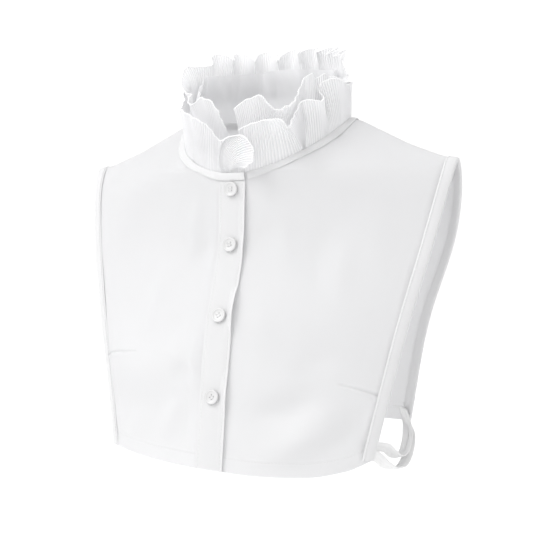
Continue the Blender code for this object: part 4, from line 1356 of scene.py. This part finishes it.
# Stations of the neck band: places across the front, then degrees from the front's middle, and
# degrees from the back's middle
NECK_ACROSS = np.array([-OVERLAP, -LIFT_START, 3.0, 12.5, 22.0])
NECK_TURNS = np.radians([24, 32, 40, 48, 56, 64, 72, 81, 90])
BACK_TURNS = np.radians(9.0 * np.arange(11))
NECK_BAND_TOP = 0.3
NECK_BAND_CROWN = 0.4
# Its slanting wrinkles: height, number with its sway, slant, and the patches that have fewer
NECK_WRINKLE = 0.16
NECK_WRINKLES = (46, 1.5, 7)
NECK_SLANT = 2.2
NECK_PATCHES = 5.0
PATCH_LEAST = 0.4


def neck_band_stations():
    """Turns from the overlapping end, and the band's upper and lower points and ways out there."""
    front = np.concatenate((np.arcsin(NECK_ACROSS / NECK_HALF_WIDTH), NECK_TURNS))
    right_back = -(pi - BACK_TURNS[:-1][::-1])
    left_back = pi - BACK_TURNS[1:]
    left_front = front[3:-1][::-1]
    groups = (
        (-front, -front, FRONT, -1.0),
        (right_back, right_back, BACK, -1.0),
        (left_back, -pi - BACK_TURNS[1:], BACK, 1.0),
        (left_front, left_front - 2 * pi, FRONT, 1.0),
    )
    turns, tops, lows, outs = [], [], [], []
    for angles, unwrapped, panel, side in groups:
        x, z = neck_xz(angles)
        lifted = panel is FRONT and side < 0
        lift = free_edge_lift(x, z) if lifted else np.zeros(len(x))
        top = on_panel(panel, x, z)
        low = on_panel(panel, *below_neck(panel, angles, NECK_RING))
        at_side = np.abs(np.abs(angles) - pi / 2) < 1e-6
        top[at_side, 1] = low[at_side, 1] = MID_Y
        out = out_of_panel(panel, x, z)
        turns.append(unwrapped)
        tops.append(top + out * (lift + LAYER)[:, None])
        lows.append(low + out * (lift + LAYER)[:, None])
        outs.append(out)
    return tuple(np.concatenate(part) for part in (turns, tops, lows, outs))


def on_turns(turns, values, at):
    """Smooth values between stations, whose turns fall from first to last."""
    table = dict(enumerate(values[::-1].T), turn=turns[::-1])
    return smooth_columns(table, "turn", range(values.shape[1]), at)


def neck_band_points(at, share):
    """Points of the neck band at turns and at shares of its width, and the ways out there."""
    turns, tops, lows, outs = neck_band_stations()
    top, low = on_turns(turns, tops, at), on_turns(turns, lows, at)
    return top[None] + (low - top)[None] * share[:, None, None], unit(on_turns(turns, outs, at))


class COLLAR_OT_neck_band(CollarOperator, bpy.types.Operator):
    """Binds the neck seam with a narrow bias strip"""
    bl_idname = "collar.neck_band"
    bl_label = "Neck band"

    def make(self, context, sizes):
        turns = neck_band_stations()[0]
        at = np.linspace(turns[0], turns[-1], NECK_BAND_COLUMNS)
        share = np.linspace(NECK_BINDING, NECK_BAND_TOP, NECK_BAND_ROWS) / NECK_RING
        points, out = neck_band_points(at, share)
        s = np.linspace(-1.0, 1.0, NECK_BAND_ROWS)[:, None]
        at = at[None, :]
        crown = NECK_BAND_CROWN * (1 - s ** 4) - NECK_BAND_CROWN
        slant = wavering(at, *NECK_WRINKLES, lead=s * NECK_SLANT)
        patches = PATCH_LEAST + (1 - PATCH_LEAST) * np.sin(at * NECK_PATCHES + 1.0) ** 2
        wrinkle = NECK_WRINKLE * slant * patches * (1 - s ** 2)
        points = (points + out[None] * (crown + wrinkle)[..., None])[:, ::-1]
        band = cloth_grid("neck_band_cloth", points, sizes.cotton_thickness / MM)
        sew(band, finish_for(context, "binding"), "neck_binding")
        declared(points)


# Section of an armhole binding: distance in from the panel's edge and out from its outer face
BAND_SECTION = np.array((
    (8.6, 0.2), (8.0, 0.7), (5.5, 1.15), (3.0, 1.2), (1.0, 1.15), (-0.3, 0.95), (-1.0, 0.4),
    (-1.25, -0.3), (-1.05, -1.0), (-0.4, -1.6), (1.0, -1.9), (3.5, -2.0), (7.4, -1.9), (8.6, -1.1),
))
BAND_THINNESS = 0.7
BAND_RIPPLE = 0.09
BAND_RIPPLES = 31
BAND_PATCHES = 4.3
BAND_SLANT = 0.7


def armhole_stations(panel, side, count):
    """Edge points of a panel's side from the hem to the shoulder, with the ways in and out."""
    low = float(hem_z(panel, side * FRONT_HEM["x"][-1:])[0]) if panel is FRONT else BACK_HEM_Z
    top = float(ridge(SHOULDER_TIP))
    z = low + (top - low) * (1 - (1 - np.linspace(0.0, 1.0, count)) ** 2)
    x = edge_of(panel, z)
    x[-1] = SHOULDER_TIP
    edge = on_panel(panel, side * x, z)
    inward = unit(on_panel(panel, side * (x - ARM_BINDING), z) - edge)
    out = out_of_panel(panel, side * x, z)
    rise = float(ridge(SHOULDER_TIP - ARM_BINDING)) - z[-1]
    inward[-1] = unit(np.array([-side * ARM_BINDING, 0.0, rise]))
    out[-1, 1] = 0.0
    return edge, inward, unit(out - inward * (out * inward).sum(axis=-1, keepdims=True))


def armhole_band_points(panel, side, count):
    edge, inward, out = armhole_stations(panel, side, count)
    in_from, out_from = BAND_SECTION[:, :1], BAND_SECTION[:, 1:]
    along = np.linspace(0.0, 1.0, count)[None, :] * 2 * pi
    ripple = np.sin(along * BAND_RIPPLES + in_from * BAND_SLANT) * np.sin(along * BAND_PATCHES)
    rise = out_from + BAND_RIPPLE * ripple
    return edge[None] + inward[None] * in_from[..., None] + out[None] * rise[..., None]


class COLLAR_OT_armhole_bands(CollarOperator, bpy.types.Operator):
    """Folds a bias strip over each side edge of the bib"""
    bl_idname = "collar.armhole_bands"
    bl_label = "Armhole bands"

    def make(self, context, sizes):
        thick = sizes.cotton_thickness / MM * BAND_THINNESS
        for label, side in SIDES:
            for place, panel in (("front", FRONT), ("back", BACK)):
                points = armhole_band_points(panel, side, ARM_BAND_COLUMNS)
                turned = points if side * facing(panel) > 0 else points[:, ::-1]
                band = cloth_grid("armhole_band_%s_%s" % (place, label), turned, thick)
                node = "armhole_binding_%s_%s" % (place, label)
                sew(band, finish_for(context, "binding"), node)
                declared(points)


# Section of a strand, whose one edge is folded under: across the ribbon and out of it
STRAP_SECTION = np.array((
    (-4.25, 0.0), (-3.2, 0.35), (-2.1, 0.5), (-1.0, 0.3), (0.0, 0.15), (1.0, 0.3), (2.1, 0.5),
    (3.2, 0.4), (4.0, 0.15), (4.3, -0.25), (4.1, -0.65), (3.2, -0.75), (2.0, -0.7), (1.1, -0.65),
))
STRAP_TWIST = 0.25
TWIST_ACROSS = 0.9
TWIST_ALONG = 1.7


def strap_points(route, side):
    """Points of a ribbon strand along its route, mirrored for the right side."""
    table = dict(route, step=np.arange(len(route["x"])))
    at = np.linspace(0.0, len(route["x"]) - 1, STRAP_COLUMNS)
    spot = smooth_columns(table, "step", ("x", "y", "z"), at)
    width = unit(smooth_columns(table, "step", ("wx", "wy", "wz"), at))
    out = unit(np.cross(np.gradient(spot, axis=0), width))
    across, rise = STRAP_SECTION[:, :1], STRAP_SECTION[:, 1:]
    twist = np.sin(across * TWIST_ACROSS + at[None, :] * TWIST_ALONG)
    rise = rise + STRAP_TWIST * twist
    points = spot[None] + width[None] * across[..., None] + out[None] * rise[..., None]
    points[..., 0] *= side
    return points


class COLLAR_OT_straps(CollarOperator, bpy.types.Operator):
    """Lays the two strands of each side ribbon between the hem corners"""
    bl_idname = "collar.straps"
    bl_label = "Side straps"

    def make(self, context, sizes):
        for label, side in SIDES:
            for strand, route in (("outer", OUTER_STRAND), ("inner", INNER_STRAND)):
                points = strap_points(route, side)
                node = "side_strap_%s_%s" % (strand, label)
                piece = cloth_grid(node + "_ribbon", points, STRAP_THICKNESS, 0.0)
                sew(piece, finish_for(context, "ribbon"), node)
                declared(points)


def stand_points(rows, columns):
    """Points of the inner stand, leaning in, cut lower at its ends and puckered to its top."""
    angle = np.linspace(STAND_END, 2 * pi - STAND_END, columns)
    from_end = np.minimum(angle - angle[0], angle[-1] - angle)
    cut = STAND_END_CUT * np.clip(1 - from_end / STAND_CUT_ANGLE, 0.0, 1.0) ** 2
    level = np.linspace(0.0, 1.0, rows)[:, None]
    height = STAND_FOOT + (STAND_HEIGHT - cut[None, :] - STAND_FOOT) * level
    lean = height * np.tan(radians(STAND_LEAN))
    soft = wavering(angle, *STAND_WAVES) * STAND_WAVE
    soft = soft + np.sin(angle * SMALL_WAVES + 2.0) * SMALL_WAVE + PUCKER_START
    pucker = np.maximum(0.0, soft[None, :]) * ease(level * PUCKER_GROWTH) * STAND_PUCKER
    inward = STAND_INSET + lean + pucker
    points = neck_point(angle)[None] - neck_outward(angle)[None] * inward[..., None]
    points[..., 2] += height
    return points


class COLLAR_OT_stand(CollarOperator, bpy.types.Operator):
    """Sets the sheer inner stand of the collar on the neckline"""
    bl_idname = "collar.stand"
    bl_label = "Collar stand"

    def make(self, context, sizes):
        points = stand_points(STAND_ROWS, STAND_COLUMNS)
        stand = cloth_grid("collar_stand_sheer", points, sizes.sheer_thickness / MM, 0.0)
        sew(stand, finish_for(context, "stand"), "collar_stand")
        declared(points)


def upper_seam(angle):
    return np.full(np.shape(angle), UPPER_SEAM_HEIGHT)


def lower_seam(angle):
    """Height of the lower tier's seam, clear of the neck band where that lies level."""
    x, z = neck_xz(angle)
    level = by_panel(angle, lambda panel: out_of_panel(panel, x, z)[..., 2])
    return LOWER_FOOT + LAYER * np.maximum(0.0, level)


class COLLAR_OT_ruffles(CollarOperator, bpy.types.Operator):
    """Pleats and gathers the two tiers of sheer ruffle round the stand"""
    bl_idname = "collar.ruffles"
    bl_label = "Ruffles"

    def make(self, context, sizes):
        stations = tier_stations(UPPER_START, UPPER_WAVES, UPPER_END)
        upper = make_tier(stations, upper_seam, *UPPER_ENDS)
        stations = tier_stations(LOWER_START, LOWER_WAVES, LOWER_END)
        lower = make_tier(stations, lower_seam, *LOWER_ENDS)
        thick = sizes.sheer_thickness / MM
        for name, tier, under in (("upper", upper, None), ("lower", lower, upper)):
            lengths = surface_lengths(ruffle_points(tier, under, tier["angle"]))[0]
            passed = lengths[-5:].mean(axis=0)
            pleats = int(passed[-1] * MM / sizes.pleat_pitch)
            spots = np.linspace(0.0, passed[-1], pleats * len(PLEAT_FOLD) + 1)
            even = np.interp(spots, passed, tier["angle"])
            points, places = pleated(ruffle_points(tier, under, even), sizes)
            piece = cloth_grid("ruffle_%s_pleats" % name, points, thick, 0.0, places)
            sew(piece, finish_for(context, "pleats"), "ruffle_" + name)
            roll = rolled_edge("ruffle_%s_roll" % name, points[-1], sizes.roll_width / MM / 2)
            sew(roll, finish_for(context, "roll"))
            declared(points)


def turned_cylinder(radius, depth, sides, **place):
    """A cylinder primitive of sizes in millimetres."""
    bpy.ops.object.select_all(action="DESELECT")
    bpy.ops.mesh.primitive_cylinder_add(
        vertices=sides, radius=radius * MM, depth=depth * MM, **place
    )
    return bpy.context.object


def button_form(sizes):
    """A dished button with its holes, lying in the XY plane."""
    button = turned_cylinder(sizes.button_diameter / 2 / MM, BUTTON_THICKNESS, 64)
    bpy.ops.object.mode_set(mode="EDIT")
    bpy.ops.mesh.select_all(action="DESELECT")
    bpy.ops.mesh.select_mode(type="FACE")
    mesh = bmesh.from_edit_mesh(button.data)
    for face in mesh.faces:
        face.select = face.normal.z > 0.9
    bmesh.update_edit_mesh(button.data)
    for inset, sink in BUTTON_INSETS:
        bpy.ops.mesh.inset(thickness=inset * MM, depth=sink * MM)
    bpy.ops.object.mode_set(mode="OBJECT")
    applied(
        button, "Rim", "BEVEL", width=BUTTON_ROUNDING * MM, segments=3, limit_method="ANGLE",
        angle_limit=radians(25.0),
    )
    for k in range(sizes.button_holes):
        turn = pi / 4 + 2 * pi * k / sizes.button_holes
        from_middle = HOLE_FROM_MIDDLE * MM
        drill = turned_cylinder(
            HOLE_RADIUS, 6, 16, location=(from_middle * cos(turn), from_middle * sin(turn), 0.0)
        )
        applied(button, "Hole", "BOOLEAN", object=drill, solver="EXACT")
        bpy.data.objects.remove(drill, do_unlink=True)
    only(button)
    bpy.ops.object.shade_smooth_by_angle(angle=radians(35.0))
    return button


def button_thread():
    """The two bars of thread that hold a button."""
    bars = []
    for side in (-1, 1):
        bars.append(turned_cylinder(
            BAR_RADIUS, BAR_LENGTH, 10, rotation=(0.0, pi / 2, 0.0),
            location=(0.0, BAR_FROM_MIDDLE * side * MM, BAR_HEIGHT * MM),
        ))
        bpy.ops.object.transform_apply(location=True, rotation=True, scale=True)
    bars = merged("button_thread", bars)
    applied(bars, "Round", "BEVEL", width=BAR_ROUNDING * MM, segments=2)
    bpy.ops.object.shade_smooth()
    return bars


def button_place(height, turn):
    """Where a button lies: on the placket's strip, clear of it all round its rim."""
    z = np.array(height)
    out = out_of_panel(FRONT, np.array(0.0), z)
    middle = on_panel(FRONT, np.array(0.0), z)
    round_it = 2 * pi * np.arange(8) / 8
    rim_x, rim_z = BUTTON_RADIUS * np.cos(round_it), height + BUTTON_RADIUS * np.sin(round_it)
    highest = max(0.0, float(((on_panel(FRONT, rim_x, rim_z) - middle) @ out).max()))
    seat = middle + out * (2 * LAYER + highest + BUTTON_THICKNESS / 2)
    facing_out = Vector(out.tolist()).to_track_quat("Z", "Y")
    turned = facing_out @ Matrix.Rotation(turn, 3, "Z").to_quaternion()
    return Matrix.Translation(Vector(seat.tolist()) * MM) @ turned.to_matrix().to_4x4()


class COLLAR_OT_buttons(CollarOperator, bpy.types.Operator):
    """Turns a dished button, and sews one on at each height"""
    bl_idname = "collar.buttons"
    bl_label = "Buttons"

    def make(self, context, sizes):
        button, thread = button_form(sizes), button_thread()
        for k, height in enumerate(BUTTON_HEIGHTS):
            node = "button_%d" % (k + 1)
            place = button_place(height, BUTTON_TURN * k)
            for form, name, slot, finish, stands_for in (
                (button, node + "_turned", "button_plastic", "button", node),
                (thread, node + "_thread", "bib_cotton", "thread", None),
            ):
                copy = form.copy()
                copy.data = form.data.copy()
                called(copy, name)
                bpy.context.scene.collection.objects.link(copy)
                copy.data.transform(place)
                sew(copy, finish_for(context, finish), stands_for)
        bpy.data.objects.remove(button, do_unlink=True)
        bpy.data.objects.remove(thread, do_unlink=True)


class COLLAR_OT_stitching(CollarOperator, bpy.types.Operator):
    """Sews the hems, the placket, the armhole bands and the neck band"""
    bl_idname = "collar.stitching"
    bl_label = "Stitching"

    def make(self, context, sizes):
        hems = []
        for panel, side, folds, dart, first, last in (
            (FRONT, -1.0, RIGHT_FOLDS, RIGHT_DART, -104.0, -14.0),
            (FRONT, 1.0, LEFT_FOLDS, LEFT_DART, 12.0, 104.0),
            (BACK, 1.0, BACK_FOLDS, None, -93.0, 93.0),
        ):
            x = np.linspace(first, last, 400)
            hems.append(on_cloth(panel, side, x, hem_z(panel, x) + HEM_STITCH, folds, dart))
        v = np.linspace(0.008, 0.995, 500)
        strip = [
            placket_points(np.full(len(v), x), v) for x in (-STRIP_STITCH, STRIP_STITCH)
        ]
        bands = []
        for _, side in SIDES:
            for panel in (FRONT, BACK):
                edge, inward, out = armhole_stations(panel, side, 300)
                bands.append((edge + inward * BAND_STITCH + out * BAND_STITCH_RISE, out))
        turns = neck_band_stations()[0]
        at = np.linspace(turns[0] - 0.01, turns[-1] + 0.01, 900)
        line, out = neck_band_points(at, np.array([NECK_STITCH / NECK_RING]))
        bands.append((line[0] - out * NECK_STITCH_DIP, out))
        for name, lines, slot in (
            ("stitches_hems", hems, "bib_cotton"),
            ("stitches_placket", strip, "bib_cotton"),
            ("stitches_bands", bands, "binding_cotton"),
        ):
            sew(stitch_lines(name, lines, sizes), finish_for(context, "thread"))


# Camera, in line with the photo's
VIEW_AZIMUTH = radians(26.5)
VIEW_ELEVATION = radians(0.5)
VIEW_ROLL = radians(-0.3)
VIEW_DISTANCE = 1429.5
VIEW_ASIDE = -4.68
VIEW_HEIGHT = -115.5
VIEW_FOCUS = 118.2
FLOOR_HEIGHT = -0.62
FLOOR_RADIUS = 9.0
# Soft light: the sky as it lights and as it is seen, and a broad lamp from the upper left
LIT_SKY = 0.95
SEEN_SKY = 1.06
LAMP_AZIMUTH = radians(-38.0)
LAMP_ELEVATION = radians(45.0)
LAMP_SPREAD = radians(40.0)
LAMP_STRENGTH = 1.42


def way(azimuth, elevation):
    """Unit vector at an azimuth from the front, turning to the wearer's left, and an elevation."""
    return Vector((
        sin(azimuth) * cos(elevation), -cos(azimuth) * cos(elevation), sin(elevation)
    ))


class COLLAR_OT_stage(CollarOperator, bpy.types.Operator):
    """Sets the floor, the soft light all round, the lamp and the camera"""
    bl_idname = "collar.stage"
    bl_label = "Stage"

    def floor(self, colour):
        bpy.ops.object.select_all(action="DESELECT")
        bpy.ops.mesh.primitive_circle_add(
            vertices=96, radius=FLOOR_RADIUS, fill_type="NGON", location=(0.0, 0.0, FLOOR_HEIGHT)
        )
        bpy.ops.object.transform_apply(location=True, rotation=True, scale=True)
        floor = bpy.context.object
        floor.name = "floor"
        paper = woven("backdrop_paper", colour, 0.01, 0.0, 0.01, Roughness=0.95)
        floor.data.materials.append(paper)

    def sky(self):
        world = bpy.data.worlds.new("soft_box")
        world.use_nodes = True
        nodes, links = world.node_tree.nodes, world.node_tree.links
        sky = nodes["Background"]
        sky.inputs["Color"].default_value = (1.0, 1.0, 1.0, 1.0)
        ray = nodes.new("ShaderNodeLightPath")
        strength = nodes.new("ShaderNodeMath")
        strength.operation = "MULTIPLY_ADD"
        strength.inputs[1].default_value = SEEN_SKY - LIT_SKY
        strength.inputs[2].default_value = LIT_SKY
        links.new(ray.outputs["Is Camera Ray"], strength.inputs[0])
        links.new(strength.outputs[0], sky.inputs["Strength"])
        return world

    def lamp(self):
        lamp = bpy.data.lights.new("soft_lamp", "SUN")
        lamp.angle = LAMP_SPREAD
        lamp.energy = LAMP_STRENGTH
        shade = bpy.data.objects.new("soft_lamp", lamp)
        back = way(LAMP_AZIMUTH, LAMP_ELEVATION)
        shade.location = back
        shade.rotation_euler = (-back).to_track_quat("-Z", "Y").to_euler()
        return shade

    def viewer(self):
        camera = bpy.data.cameras.new("photo_view")
        camera.lens = VIEW_FOCUS
        camera.sensor_width = 36.0
        camera.clip_end = 50.0
        viewer = bpy.data.objects.new("photo_view", camera)
        back = way(VIEW_AZIMUTH, VIEW_ELEVATION)
        right = way(VIEW_AZIMUTH + pi / 2, 0.0)
        up = back.cross(right)
        aim = right * VIEW_ASIDE + Vector((0.0, 0.0, VIEW_HEIGHT))
        axes = Matrix((right, up, back)).transposed() @ Matrix.Rotation(VIEW_ROLL, 3, "Z")
        place = Matrix.Translation((aim + back * VIEW_DISTANCE) * MM)
        viewer.matrix_world = place @ axes.to_4x4()
        return viewer

    def make(self, context, sizes):
        scene = context.scene
        self.floor(tuple(scene.collar_colours.backdrop))
        scene.world = self.sky()
        scene.view_settings.view_transform = "Standard"
        viewer = self.viewer()
        for piece in (self.lamp(), viewer):
            scene.collection.objects.link(piece)
        scene.camera = viewer


STEPS = (
    COLLAR_OT_bib,
    COLLAR_OT_placket,
    COLLAR_OT_neck_band,
    COLLAR_OT_armhole_bands,
    COLLAR_OT_straps,
    COLLAR_OT_stand,
    COLLAR_OT_ruffles,
    COLLAR_OT_buttons,
    COLLAR_OT_stitching,
    COLLAR_OT_stage,
)


class COLLAR_PT_sidebar(bpy.types.Panel):
    bl_idname = "COLLAR_PT_sidebar"
    bl_label = "Ruffled collar"
    bl_space_type = "VIEW_3D"
    bl_region_type = "UI"
    bl_category = "Collar"

    def draw(self, context):
        for group in (context.scene.collar_sizes, context.scene.collar_colours):
            box = self.layout.box()
            for name in group.__annotations__:
                box.prop(group, name)
        for step in STEPS:
            self.layout.operator(step.bl_idname)


CLASSES = (CollarSizes, CollarColours, *STEPS, COLLAR_PT_sidebar)


def register():
    for kind in CLASSES:
        bpy.utils.register_class(kind)
    bpy.types.Scene.collar_sizes = PointerProperty(type=CollarSizes)
    bpy.types.Scene.collar_colours = PointerProperty(type=CollarColours)


def unregister():
    del bpy.types.Scene.collar_colours
    del bpy.types.Scene.collar_sizes
    for kind in reversed(CLASSES):
        bpy.utils.unregister_class(kind)


def main():
    register()
    bpy.ops.collar.bib()
    bpy.ops.collar.placket()
    bpy.ops.collar.neck_band()
    bpy.ops.collar.armhole_bands()
    bpy.ops.collar.straps()
    bpy.ops.collar.stand()
    bpy.ops.collar.ruffles()
    bpy.ops.collar.buttons()
    bpy.ops.collar.stitching()
    bpy.ops.collar.stage()


if __name__ == "__main__":
    main()
